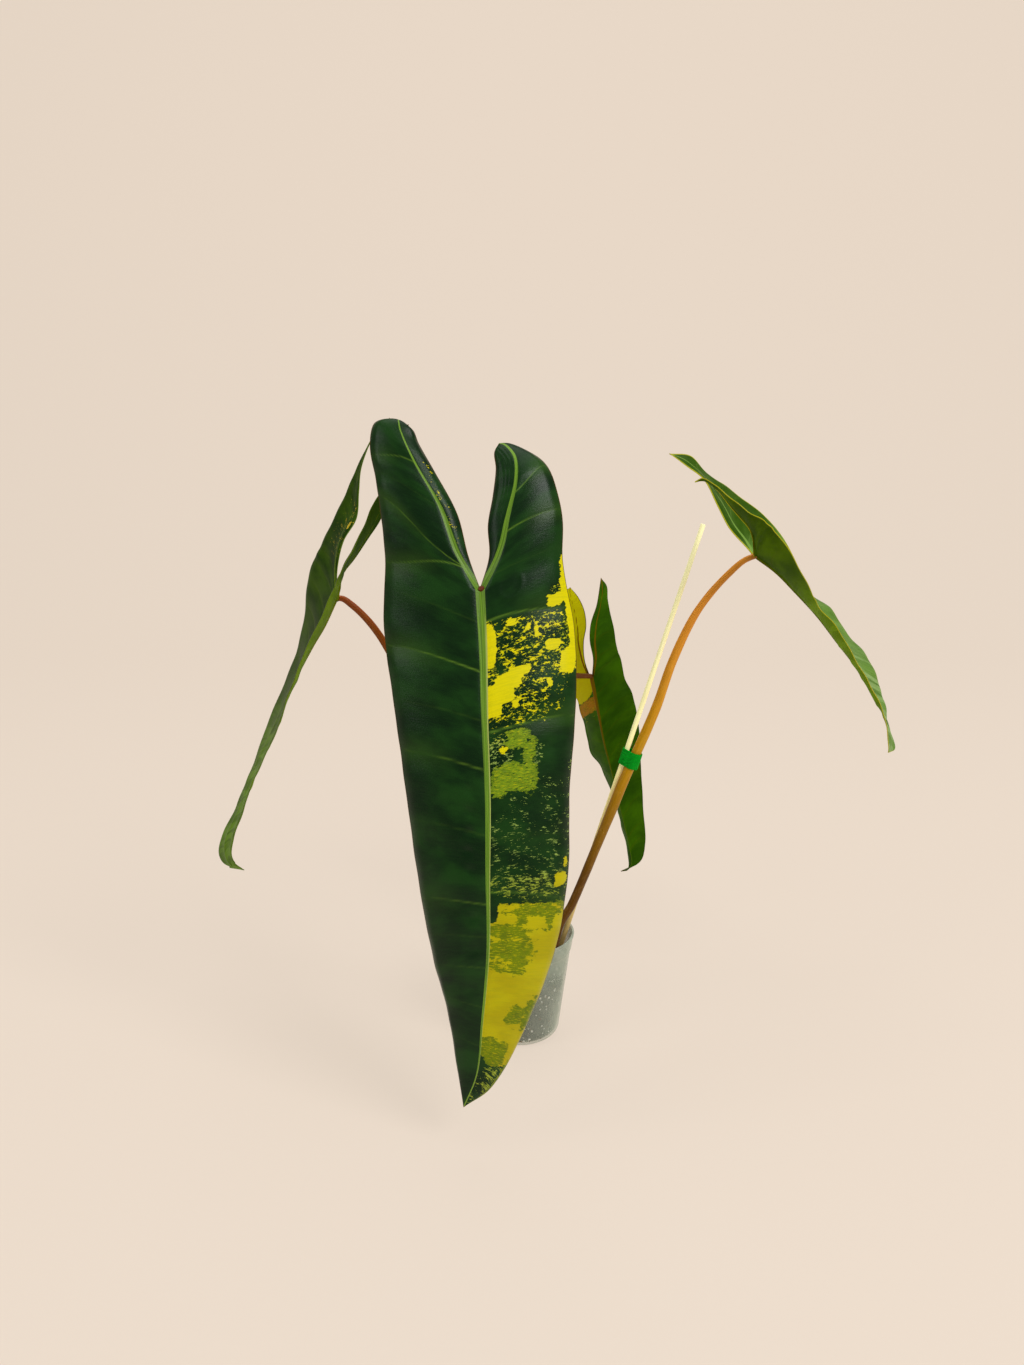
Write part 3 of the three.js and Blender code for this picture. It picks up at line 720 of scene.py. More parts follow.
def leaf_finish(
    name, dark, light, rib_colour, yellow, gold, lime_colour, lime_low, rough, gloss, margin=(84, 58, 14),
    vein_power=0.8, glow=0.5, rib_end=None, pale_edge=0.0, margin_width=0.5, tip_colour=None, tip_from=0.4,
    stripe=0.0, lobe_colour=None,
):
    """A leaf's skin: green with grain, then patches, specks, veins, rib and margin over it."""
    m = Finish(name, roughness=rough)
    m.shader.inputs["Specular IOR Level"].default_value = gloss
    low = m.between(m.attribute("notch"), 0.35, 0.6)
    broad = m.noise(m.place((0.28, 0.5, 1.0), "grain"), detail=3.0)
    streaks = m.noise(m.place((0.9, 9.0, 1.0), "grain"), detail=4.0, roughness=0.6)
    crumbs = m.noise(m.place((4.6, 9.0, 1.0), "grain"), detail=6.0, roughness=0.66, distortion=0.4)
    dashes = m.noise(m.place((2.6, 15.0, 1.0), "grain"), detail=6.0, roughness=0.68)
    blots = m.noise(m.place((1.5, 2.8, 1.0), "grain"), detail=7.0, roughness=0.62, distortion=0.3)
    green = m.mix(m.between(broad, 0.36, 0.68), dark, light)
    green = m.mix(m.between(streaks, 0.42, 0.72, 0.0, 0.22), green, light)
    if tip_colour is not None:
        bands = m.between(
            m.noise(m.place((0.1, 1.05, 1.0), "grain"), detail=3.0), 0.45, 0.55, 1.0 - stripe, 1.0,
        )
        tip_share = m.between(m.attribute("notch"), tip_from, tip_from + 0.25)
        green = m.mix(m.math("MULTIPLY", tip_share, bands), green, tip_colour)
    if lobe_colour is not None:
        lobe_share = m.between(m.attribute("notch"), -0.12, -0.02, 0.9, 0.0)
        lobe_tone = m.mix(m.between(broad, 0.36, 0.68, 0.0, 0.12), lobe_colour, light)
        green = m.mix(lobe_share, green, lobe_tone)
        glow = m.math("MULTIPLY", glow, m.math("SUBTRACT", 1.0, lobe_share))
    glow_colour = m.mix(0.4, light, m.mix(0.5, light, rib_colour))
    green = m.mix(m.math("MULTIPLY", m.attribute("glow"), glow), green, glow_colour)
    # painted shade: towards the tip, where the blade hangs lowest, the yellow turns a darker gold and the
    # lime a darker lime, and broad patches there turn darker olive still
    bright = m.mix(low, yellow, gold)
    bright = m.mix(m.between(streaks, 0.42, 0.62, 0.0, 0.14), bright, lime_colour)
    low_shade_patches = m.math("MULTIPLY", low, m.between(broad, 0.42, 0.6, 0.0, 0.6))
    bright = m.mix(low_shade_patches, bright, m.mix(0.4, bright, srgb(136, 112, 0)))
    lime_tone = m.mix(low, lime_colour, lime_low)
    deep_lime = m.mix(0.55, light, lime_tone)
    lime_tone = m.mix(m.between(blots, 0.5, 0.56, 0.0, 0.6), lime_tone, deep_lime)
    lime_dash = m.mix(low, m.mix(0.5, lime_tone, bright), bright)
    lime_tone = m.mix(m.between(dashes, 0.43, 0.45, 0.75, 0.0), lime_tone, lime_dash)

    def inside(label, cell, streak):
        """A patch's depth with its edge made ragged."""
        swing = m.math("MULTIPLY", m.math("SUBTRACT", blots, 0.5), cell)
        swing = m.math("ADD", swing, m.math("MULTIPLY", m.math("SUBTRACT", crumbs, 0.5), cell * 0.3))
        swing = m.math("ADD", swing, m.math("MULTIPLY", m.math("SUBTRACT", dashes, 0.5), streak))
        return m.math("ADD", m.attribute(label), swing)

    yellow_share = m.between(inside("yellow", 0.65, 0.2), -0.015, 0.015)
    holes = m.math("MULTIPLY", m.between(dashes, 0.575, 0.59), m.math("SUBTRACT", 1.0, low))
    lime_share = m.math(
        "SUBTRACT", m.between(inside("lime", 1.5, 0.6), -0.02, 0.02), m.math("MULTIPLY", holes, 0.9),
    )
    lime_share = m.math("MAXIMUM", lime_share, 0.0)
    kept = m.between(inside("kept_green", 0.5, 0.2), -0.02, 0.02)
    spread = m.attribute("speckled")
    streaky = m.between(m.attribute("notch"), 0.36, 0.42)
    grit = m.mix(
        streaky, crumbs, m.math("ADD", m.math("MULTIPLY", dashes, 0.85), m.math("MULTIPLY", crumbs, 0.15)),
    )
    grit = m.math("ADD", grit, m.math("MULTIPLY", m.math("SUBTRACT", blots, 0.5), 0.75))
    grit = m.math("ADD", grit, m.math("MULTIPLY", spread, 0.112))
    specks = m.math("MULTIPLY", m.between(grit, 0.662, 0.674), m.between(spread, 0.02, 0.1))
    speck_tone = m.mix(m.between(blots, 0.5, 0.58), m.mix(0.25, lime_colour, yellow), yellow)
    pale_speck, warm_speck = m.mix(0.25, lime_colour, srgb(180, 200, 140)), m.mix(0.3, lime_colour, yellow)
    far_speck = m.mix(m.between(m.attribute("notch"), 0.49, 0.55, 0.0, 0.6), pale_speck, warm_speck)
    speck_tone = m.mix(m.between(m.attribute("notch"), 0.24, 0.3), speck_tone, far_speck)
    colour = m.mix(specks, green, speck_tone)
    colour = m.mix(yellow_share, colour, bright)
    colour = m.mix(m.math("MULTIPLY", lime_share, 0.94), colour, lime_tone)
    dots = m.math("MULTIPLY", m.between(inside("yellow", 0.4, 0.1), 0.0, 0.02), m.math("SUBTRACT", 1.0, low))
    colour = m.mix(dots, colour, bright)
    colour = m.mix(kept, colour, green)
    colour = m.mix(m.math("MULTIPLY", m.attribute("vein"), vein_power), colour, rib_colour)
    stripes = m.noise(m.place((16.0, 0.16, 1.0), "grain"), detail=3.0)
    if rib_end is not None:
        rib_colour = m.mix(m.between(m.attribute("notch"), 0.1, 0.6), rib_colour, rib_end)
    rib_tone = m.mix(m.between(stripes, 0.42, 0.58), rib_colour, m.mix(0.5, rib_colour, light))
    if pale_edge:
        pale = m.math(
            "MULTIPLY", m.attribute("yellow_side"),
            m.between(m.attribute("rib"), 0.5, 0.72, 0.0, pale_edge),
        )
        rib_tone = m.mix(pale, rib_tone, srgb(190, 200, 110))
    rib_share = m.between(m.attribute("rib"), 0.88, 1.02, 1.0, 0.0)
    colour = m.mix(rib_share, colour, rib_tone)
    edge = m.between(m.attribute("margin"), margin_width * 0.5, margin_width * 1.3, 1.0, 0.0)
    colour = m.mix(edge, colour, srgb(*margin))
    fine = m.noise(m.place((1.6, 12.0, 1.0), "grain"), detail=5.0, roughness=0.65)
    lumps = m.noise(m.place((6.0, 8.0, 1.0), "grain"), detail=6.0, roughness=0.65)
    height = m.math("ADD", m.math("MULTIPLY", fine, 0.6), m.math("MULTIPLY", lumps, 0.7))
    normal = m.bump(height, 0.5, 0.0003)
    dull = m.math("ADD", m.math("MULTIPLY", broad, 0.16), rough - 0.08)
    dull = m.math("ADD", dull, m.math("MULTIPLY", yellow_share, 0.1))
    return m.finish(colour, dull, normal)


front_upper = leaf_finish(
    "front_leaf_face", dark=srgb(11, 36, 12), light=srgb(24, 60, 17), rib_colour=srgb(112, 150, 44),
    yellow=srgb(222, 210, 0), gold=srgb(186, 176, 0), lime_colour=srgb(120, 148, 24),
    lime_low=srgb(104, 124, 0), pale_edge=0.7, gloss=0.15, rough=0.3, vein_power=0.7,
)
front_under = leaf_finish(
    "front_leaf_back", dark=srgb(48, 80, 16), light=srgb(78, 110, 30), rib_colour=srgb(140, 150, 50),
    yellow=srgb(206, 202, 50), gold=srgb(190, 182, 30), lime_colour=srgb(130, 150, 40),
    lime_low=srgb(120, 136, 30), rough=0.55, gloss=0.05,
)
left_upper = leaf_finish(
    "left_leaf_face", dark=srgb(22, 50, 0), light=srgb(54, 84, 6), rib_colour=srgb(100, 122, 30),
    yellow=srgb(196, 170, 50), gold=srgb(190, 172, 60), lime_colour=srgb(110, 128, 40),
    lime_low=srgb(96, 128, 20), gloss=0.05, rough=0.5, vein_power=0.4, margin=(96, 118, 20),
    margin_width=0.4, tip_colour=srgb(104, 142, 36), tip_from=0.3, stripe=0.5,
)
left_under = leaf_finish(
    "left_leaf_back", dark=srgb(88, 122, 8), light=srgb(116, 150, 30), rib_colour=srgb(120, 128, 16),
    yellow=srgb(196, 190, 44), gold=srgb(190, 180, 40), lime_colour=srgb(110, 130, 40),
    lime_low=srgb(110, 130, 40), gloss=0.02, rough=0.7, vein_power=0.2, margin=(84, 100, 0),
    margin_width=0.4, tip_colour=srgb(124, 158, 46), tip_from=0.3, stripe=0.3, lobe_colour=srgb(42, 76, 20),
)
back_upper = leaf_finish(
    "back_leaf_face", dark=srgb(20, 50, 0), light=srgb(50, 92, 8), rib_colour=srgb(96, 120, 20),
    yellow=srgb(214, 206, 10), gold=srgb(190, 172, 20), lime_colour=srgb(110, 128, 40),
    lime_low=srgb(96, 128, 20), gloss=0.06, rough=0.45, vein_power=0.4,
)
back_under = leaf_finish(
    "back_leaf_back", dark=srgb(42, 80, 0), light=srgb(62, 106, 0), rib_colour=srgb(132, 76, 0),
    yellow=srgb(190, 186, 0), gold=srgb(190, 186, 0), lime_colour=srgb(168, 112, 16),
    lime_low=srgb(168, 112, 16), gloss=0.04, rough=0.6, vein_power=0.1, margin=(74, 92, 0), glow=0.05,
    rib_end=srgb(72, 100, 0), margin_width=0.4,
)
right_upper = leaf_finish(
    "right_leaf_face", dark=srgb(48, 90, 0), light=srgb(102, 142, 52), rib_colour=srgb(118, 150, 64),
    yellow=srgb(226, 205, 110), gold=srgb(206, 180, 70), lime_colour=srgb(96, 128, 40),
    lime_low=srgb(96, 128, 40), gloss=0.08, rough=0.42, margin=(176, 172, 30), vein_power=0.5,
    margin_width=0.8, tip_colour=srgb(138, 168, 100), tip_from=0.35, stripe=0.9,
    lobe_colour=srgb(46, 78, 0),
)
right_under = leaf_finish(
    "right_leaf_back", dark=srgb(50, 78, 0), light=srgb(76, 108, 0), rib_colour=srgb(88, 84, 0),
    yellow=srgb(214, 205, 60), gold=srgb(200, 185, 50), lime_colour=srgb(120, 140, 50),
    lime_low=srgb(120, 140, 50), gloss=0.02, rough=0.7, margin=(176, 172, 30), vein_power=0.25, glow=0.2,
    margin_width=0.8, tip_colour=srgb(112, 148, 16), tip_from=0.1, stripe=0.3,
)

# each vein is its place at the rib, at the margin, and its strength
FRONT_VEINS = {
    "left": [
        (-0.266, -0.244, 0.55), (-0.17, -0.2, 0.08), (-0.052, -0.14, 0.75), (-0.048, 0.004, 0.8),
        (0.06, 0.05, 0.08), (0.15, 0.137, 0.75), (0.24, 0.235, 0.1), (0.33, 0.322, 0.5), (0.45, 0.44, 0.1),
        (0.578, 0.569, 0.38), (0.64, 0.63, 0.08), (0.7, 0.69, 0.14), (0.78, 0.77, 0.08), (0.86, 0.85, 0.06),
    ],
    "right": [
        (-0.19, -0.218, 0.75), (-0.116, -0.113, 0.75), (-0.03, -0.03, 0.08), (0.06, 0.074, 0.8),
        (0.16, 0.165, 0.1), (0.262, 0.253, 0.8), (0.37, 0.37, 0.1), (0.46, 0.46, 0.1), (0.556, 0.572, 0.6),
        (0.68, 0.68, 0.2), (0.8, 0.8, 0.1),
    ],
}
# each dent is its side, its place from notch to tip, then its offset from the rib, size and depth in mm
FRONT_DENTS = [
    ("left", 0.37, 11.6, 3.0, 0.7), ("left", 0.41, 12.0, 3.6, 0.8), ("left", 0.445, 11.4, 3.0, 0.9),
    ("left", 0.48, 12.4, 2.4, 0.8), ("left", 0.515, 11.0, 3.2, 0.7), ("left", 0.6, 9.0, 3.4, 0.5),
    ("left", 0.66, 8.0, 5.0, 0.7), ("left", 0.74, 8.0, 5.0, 0.6), ("right", 0.3, 42.0, 4.0, 0.5),
    ("right", 0.42, 38.0, 5.0, 0.6),
]

leaf(
    "leaf_front", LEAF_FRONT, front_colouring, front_upper, front_under, "patched_leaf", per_station=42,
    columns=42, rib=3.3, groove=0.9, quilt=0.55, ruffle=0.7, wave=0.4, roll=2.4, bend=2.5, seed=3,
    veins=FRONT_VEINS, dents=FRONT_DENTS,
)
leaf(
    "leaf_left", LEAF_LEFT, left_colouring, left_upper, left_under, "green_leaf", per_station=26,
    columns=26, rib=1.8, groove=0.6, quilt=0.5, ruffle=0.7, wave=0.6, roll=1.6, bend=5.0, seed=21,
)
leaf(
    "leaf_right", LEAF_RIGHT, plain_colouring, right_upper, right_under, "green_leaf", per_station=26,
    columns=28, rib=1.8, groove=0.6, quilt=0.8, ruffle=1.0, wave=0.8, roll=1.4, bend=5.0, seed=34,
)
leaf(
    "leaf_back", LEAF_BACK, back_colouring, back_upper, back_under, "green_leaf",
    per_station=26, columns=26, rib=1.5, groove=0.5, quilt=0.7, ruffle=1.4, wave=0.6, bend=4.0, seed=55,
)

# ------------------------------------------------------------------ stalks, stem, roots and sheaths


def stalk_finish(name, low, middle, high, neck=None):
    """A stalk's skin, coloured from its foot to its neck, with fibres and flecks."""
    m = Finish(name, roughness=0.42)
    m.shader.inputs["Specular IOR Level"].default_value = 0.2
    m.shader.inputs["Coat Weight"].default_value = 0.06
    m.shader.inputs["Coat Roughness"].default_value = 0.25
    along = m.attribute("along")
    fibres = m.noise(m.place((14.0, 0.7, 1.0), "grain"), detail=5.0, roughness=0.6)
    mottle = m.noise(m.place((2.0, 0.8, 1.0), "grain"), detail=4.0)
    flecks = m.noise(m.place((9.0, 5.0, 1.0), "grain"), detail=2.0)
    colour = m.ramp(
        along, (0.0, low), (0.22, low), (0.52, middle), (0.72, high), (0.93, high), (1.0, neck or high),
    )
    dark = m.mix(0.55, colour, srgb(70, 36, 4))
    colour = m.mix(m.between(fibres, 0.42, 0.7, 0.0, 0.4), colour, dark)
    colour = m.mix(m.between(mottle, 0.5, 0.75, 0.0, 0.3), colour, m.mix(0.5, colour, srgb(222, 176, 84)))
    colour = m.mix(m.between(flecks, 0.66, 0.72, 0.0, 0.35), colour, srgb(226, 184, 100))
    normal = m.bump(fibres, 0.25, 0.0003)
    return m.finish(colour, m.math("ADD", m.math("MULTIPLY", mottle, 0.2), 0.32), normal)


amber = stalk_finish("amber_stalk", srgb(96, 60, 0), srgb(206, 150, 0), srgb(246, 160, 50), srgb(150, 88, 24))
russet = stalk_finish("russet_stalk", srgb(96, 66, 10), srgb(164, 82, 4), srgb(170, 80, 18))
umber = stalk_finish("umber_stalk", srgb(96, 66, 10), srgb(130, 78, 10), srgb(112, 60, 8))
maroon = stalk_finish("maroon_stalk", srgb(96, 66, 10), srgb(110, 52, 8), srgb(96, 38, 8))

# each stalk is its finish, its record slot, its stations and its radii from foot to neck, in mm
STALKS = {
    "petiole_front": (maroon, "brown_stalk", [
        (14, -10, 69), (9, -19, 130), (0, -44, 230), (-13, -78, 320), (-22, -97, 365), (-25.5, -103.5, 375),
    ], (5.2, 4.4, 3.6, 2.9, 2.6, 2.0)),
    "petiole_left": (russet, "brown_stalk", [
        (5.5, 3, 69), (0, 3, 108), (-25, 0, 168), (-59, -4, 242), (-88, -8, 298),
        (-103, -10, 325), (-112, -11, 337), (-121, -12, 346), (-127, -13, 350.5), (-133, -14, 351),
    ], (5.2, 4.5, 4, 3.4, 2.9, 2.6, 2.5, 2.3, 2.1, 1.9)),
    "petiole_right": (amber, "amber_stalk", [
        (26, -6.5, 69), (32, -6.5, 94), (40, -5.5, 108), (49, -3, 129), (59, -1.4, 155), (71, -1.1, 187),
        (78.5, 0.4, 207), (88, 2.4, 229), (102, 2, 265), (113, 1, 301), (127, 0, 334), (138, 0, 351),
        (151, 0, 366), (162, 0, 376), (171, 0, 380),
    ], (3.4, 3.4, 3.4, 3.4, 3.5, 4, 4, 3.9, 3.7, 3.4, 3, 2.7, 2.4, 2.2, 2.1)),
    "petiole_back": (umber, "brown_stalk", [
        (19, 17, 69), (17, 24, 110), (13, 46, 165), (13, 78, 220), (24, 108, 251),
        (40, 127, 257), (53, 140, 254), (62.5, 149, 251.5),
    ], (5.2, 4.4, 3.9, 3.3, 2.8, 2.5, 2.3, 2.0)),
}


def stalk_relief(seed):
    def relief(along, angle):
        channel = -0.35 * np.exp(-((np.sin((angle - 1.2) / 2)) ** 2) / 0.03)
        ribs = 0.06 * np.sin(9 * angle + 0.02 * along + seed)
        return channel + ribs + 0.1 * waves(along, seed, 61, 23)
    return relief


for order, (name, (finish, slot_name, stations, radii)) in enumerate(STALKS.items()):
    stalk = bar(name, stations, radii, sides=32, rows=260, relief=stalk_relief(order + 2))
    keep(stalk, slot_name, name, material=finish)


def bark_like(name, dark, light, scale, rough, height):
    """A rough natural skin in two tones, for stem, roots, sheaths, chips and mix."""
    m = Finish(name, roughness=rough)
    place = m.place((1.0, 1.0, 0.45))
    coarse = m.noise(place, scale, detail=6.0, roughness=0.65)
    fine = m.noise(place, scale * 5.0, detail=5.0, roughness=0.7)
    colour = m.mix(m.between(coarse, 0.35, 0.66), dark, light)
    colour = m.mix(m.between(fine, 0.5, 0.7, 0.0, 0.5), colour, m.mix(0.6, dark, srgb(0, 0, 0)))
    total = m.math("ADD", coarse, m.math("MULTIPLY", fine, 0.5))
    return m.finish(colour, m.between(fine, 0.3, 0.8, rough - 0.12, rough + 0.08), m.bump(total, 0.7, height))


stem_finish = bark_like("stem_skin", srgb(78, 84, 34), srgb(128, 118, 58), 130.0, rough=0.6, height=0.0004)
root_finish = bark_like("root_skin", srgb(96, 68, 40), srgb(160, 126, 84), 240.0, rough=0.85, height=0.0004)
pale_sheath = bark_like(
    "pale_sheath", srgb(126, 132, 58), srgb(178, 172, 96), 160.0, rough=0.55, height=0.0003,
)
dry_sheath = bark_like("dry_sheath", srgb(92, 58, 32), srgb(148, 104, 62), 260.0, rough=0.85, height=0.0005)


def stem_relief(along, angle):
    from_ring = np.mod(along + 3 * np.sin(angle), 9.0) - 4.5
    return 0.5 * np.exp(-(from_ring**2) / 0.5) + 0.18 * np.sin(5 * angle + along)


stem = bar(
    "stem", [(20, 3, 51), (19.5, 3, 61), (19, 3, 76), (19, 3, 89)], (5.2, 7.2, 7.6, 5.2), sides=48, rows=70,
    relief=stem_relief,
)
keep(stem, "green_stem", "stem", material=stem_finish)


def wrinkles(seed, size):
    def relief(along, angle):
        return size * (np.sin(3 * angle + along * 0.4 + seed) + 0.6 * np.sin(7 * angle - along * 0.9))
    return relief


# each is its record slot, its finish, its stations and radii in mm, its sides and rows, and its relief
CROWN_PIECES = {
    "sheath_new": (
        "pale_sheath", pale_sheath, [(19, 3, 88.5), (18, 2, 104), (15, 1, 124), (12, 0, 142)],
        (3.0, 3.4, 2.4, 0.5), 32, 90, wrinkles(1, 0.08),
    ),
    "sheath_dry": (
        "dry_sheath", dry_sheath, [(25.5, 11, 73), (29, 15, 84), (31, 18, 96), (31, 20, 106)],
        (1.1, 1.9, 1.5, 0.4), 24, 60, wrinkles(5, 0.14),
    ),
    "root_front": (
        "root_skin", root_finish, [(12.5, -2.2, 77), (5, -9, 76), (-1, -14, 69), (-4, -17, 54)],
        (1.5, 1.6, 1.5, 1.2), 20, 60, wrinkles(3, 0.1),
    ),
    "root_back": (
        "root_skin", root_finish, [(12.4, 8.6, 77), (6, 15, 75), (2, 20, 68), (0, 22, 52)],
        (1.4, 1.5, 1.4, 1.1), 20, 60, wrinkles(4, 0.1),
    ),
}
for name, (slot_name, finish, stations, radii, sides, rows, relief) in CROWN_PIECES.items():
    piece = bar(name, stations, radii, sides=sides, rows=rows, relief=relief)
    keep(piece, slot_name, name, material=finish)

# ------------------------------------------------------------------ stick and strap

STICK_TOP, STICK_FOOT = np.array([132.0, 2.0, 402.0]), np.array([15.8, 9.0, 10.0])
STICK_RADIUS = 2.0
STICK_RINGS = 171.0, 352.0      # mm from the foot


def stick_relief(along, angle):
    rings = np.zeros_like(along)
    for place in STICK_RINGS:
        ridge = np.exp(-(((along - place) / 1.1) ** 2))
        groove = np.exp(-(((along - place - 2.2) / 0.9) ** 2))
        rings += 0.16 * ridge - 0.1 * groove
    return rings + 0.03 * np.sin(11 * angle) + 0.05 * waves(along, 8, 90, 41) - 0.08


bamboo = Finish("bamboo_skin", roughness=0.45)
bamboo.shader.inputs["Specular IOR Level"].default_value = 0.2
# painted light: the stick glows faintly in its own tone, so it looks brighter than the lamps alone make it
bamboo.shader.inputs["Emission Strength"].default_value = 0.24
fibres = bamboo.noise(bamboo.place((11.0, 0.35, 1.0), "grain"), detail=6.0, roughness=0.65)
blotch = bamboo.noise(bamboo.place((0.8, 0.25, 1.0), "grain"), detail=3.0)
tone = bamboo.ramp(
    bamboo.attribute("along"), (0.0, srgb(166, 130, 74)), (0.18, srgb(206, 178, 112)),
    (0.4, srgb(255, 234, 152)), (0.6, srgb(255, 248, 186)), (1.0, srgb(255, 250, 194)),
)
tone = bamboo.mix(bamboo.between(fibres, 0.5, 0.7, 0.0, 0.25), tone, srgb(196, 160, 98))
tone = bamboo.mix(bamboo.between(blotch, 0.55, 0.75, 0.0, 0.25), tone, srgb(250, 244, 206))
# painted light: the glow's share, none up to 0.3 of the way from the foot and full from 0.6 on
painted_glow_share = bamboo.between(bamboo.attribute("along"), 0.3, 0.6)
bamboo.feed(bamboo.shader.inputs["Emission Color"], bamboo.mix(painted_glow_share, srgb(0, 0, 0), tone))
bamboo_finish = bamboo.finish(
    tone, bamboo.between(fibres, 0.3, 0.7, 0.38, 0.56), bamboo.bump(fibres, 0.3, 0.0003),
)

stick = bar(
    "bamboo_stake", [STICK_FOOT, (STICK_FOOT + STICK_TOP) / 2, STICK_TOP], (2.05, 2.0, 1.9), sides=40,
    rows=420, relief=stick_relief,
)
in_edit(stick, (bpy.ops.mesh.normals_make_consistent, {"inside": False}))
keep(stick, "bamboo", "bamboo_stake", material=bamboo_finish)

STRAP_WIDTH, STRAP_THICKNESS, STRAP_LEVEL, STRAP_GAP = 12.7, 1.0, 226.0, 0.35
STALK_AT_STRAP = 4.2            # the right stalk's radius where the strap goes round it
axis = (STICK_TOP - STICK_FOOT) / np.linalg.norm(STICK_TOP - STICK_FOOT)
stick_at = STICK_FOOT + axis * (STRAP_LEVEL - STICK_FOOT[2]) / axis[2]
spots = route(STALKS["petiole_right"][2], np.linspace(0, 1, 401))
stalk_at = spots[np.argmin(np.abs((spots - stick_at) @ axis))]
to_stalk = stalk_at - stick_at
to_stalk = to_stalk - (to_stalk @ axis) * axis
reach = np.linalg.norm(to_stalk)
strap_right = to_stalk / reach
strap_front = np.cross(axis, strap_right)


def strap_line(angle, offset):
    """The band's line round the stick and the stalk, at an offset from both."""
    x, y = np.cos(angle), np.sin(angle)
    blend = 1 / (1 + np.exp(-(reach * x + STALK_AT_STRAP - STICK_RADIUS) / 0.25))
    radius = STICK_RADIUS + (STALK_AT_STRAP - STICK_RADIUS) * blend + offset
    return reach * blend + radius * x, radius * y


def strap_piece(name, first, last, offset, columns, closed):
    """A length of strap from one angle to another, at an offset from stick and stalk."""
    section = 20
    turn = np.linspace(0, 2 * np.pi, section + 1)
    half_width, half_thick = STRAP_WIDTH / 2, STRAP_THICKNESS / 2
    across = half_width * np.sign(np.sin(turn)) * np.abs(np.sin(turn)) ** 0.28
    out = half_thick * np.sign(np.cos(turn)) * np.abs(np.cos(turn)) ** 0.5

    def shape(u, v):
        j = np.rint(v * section).astype(int)
        angle = first + (last - first) * u
        x, y = strap_line(angle, offset + half_thick + out[j])
        fray = 0.06 * np.sin(210 * u + j) if closed else 0.12 * np.sin(160 * u + 3 * j)
        z = across[j] * (1 + 0.008 * np.sin(60 * u)) + fray
        points = stick_at + strap_right * x[:, None] + strap_front * y[:, None] + axis * z[:, None]
        return points * MM, {"UV": np.stack([u * 40 / 10, across[j] / 10], 1), "along": v}

    piece = grid_piece(name, section, columns, shape)
    in_edit(
        piece,
        (bpy.ops.mesh.remove_doubles, {"threshold": 0.00001}),
        (bpy.ops.mesh.fill_holes, {"sides": 0}),
        (bpy.ops.mesh.normals_make_consistent, {"inside": False}),
    )
    return piece


strap = Finish("green_loop_fabric", roughness=0.85)
strap.shader.inputs["Specular IOR Level"].default_value = 0.1
weave = strap.cells(strap.place((18.0, 18.0, 1.0), "grain"), 1.0)
fuzz = strap.noise(strap.place((30.0, 30.0, 1.0), "grain"), detail=5.0, roughness=0.7)
cloth = strap.mix(strap.between(weave, 0.1, 0.7), srgb(0, 186, 36), srgb(0, 140, 22))
cloth = strap.mix(strap.between(fuzz, 0.5, 0.7, 0.0, 0.35), cloth, srgb(40, 196, 84))
strap_finish = strap.finish(cloth, None, strap.bump(strap.math("ADD", weave, fuzz), 0.8, 0.0004))

band = strap_piece("strap_band", 0.0, 2 * np.pi, STRAP_GAP, 160, closed=True)
lap = strap_piece("strap_lap", 1.15, 2.35, STRAP_GAP + STRAP_THICKNESS - 0.05, 48, closed=False)
tie = join(band, lap)
tie.name = "plant_tie"
keep(tie, "green_strap", "plant_tie", material=strap_finish)

# ------------------------------------------------------------------ pot

pot_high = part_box("pot")[1]
POT_HEIGHT = pot_high[2] / MM
RIM_RADIUS = pot_high[0] / MM
COLLAR_DROP, COLLAR_STEP, LIP_OVERHANG = 13.0, 0.7, 0.4
BASE_RADIUS, BASE_CORNER, POT_WALL, POT_FLOOR = 31.8, 7.5, 1.3, 1.8
DRAIN_COUNT, DRAIN_CIRCLE, DRAIN_RADIUS = 6, 18.0, 3.2
COLLAR_LEVEL = POT_HEIGHT - COLLAR_DROP
TAPER = (RIM_RADIUS - LIP_OVERHANG - COLLAR_STEP - BASE_RADIUS) / (POT_HEIGHT - BASE_CORNER)


def wall_radius(z):
    """The pot's outer radius at a level, without its collar, in mm."""
    return BASE_RADIUS + TAPER * (z - BASE_CORNER)


def pot_corner(angle, radius, level, size):
    """A point on the round corner where a floor at a level turns up into a wall."""
    return (radius - size * (1 - math.sin(angle)), level + size * (1 - math.cos(angle)))


def spun(name, outline, steps):
    """Spins an outline of radius and level in mm about the upright axis."""
    mesh = bpy.data.meshes.new(name)
    mesh.from_pydata(
        [(r * MM, 0, z * MM) for r, z in outline], [(i, i + 1) for i in range(len(outline) - 1)], [],
    )
    piece = bpy.data.objects.new(name, mesh)
    scene.collection.objects.link(piece)
    in_edit(
        piece,
        (bpy.ops.mesh.spin, {"steps": steps, "angle": 2 * math.pi, "center": (0, 0, 0), "axis": (0, 0, 1)}),
        (bpy.ops.mesh.select_all, {"action": "SELECT"}),
        (bpy.ops.mesh.remove_doubles, {"threshold": 0.000005}),
        (bpy.ops.mesh.normals_make_consistent, {"inside": False}),
    )
    return piece


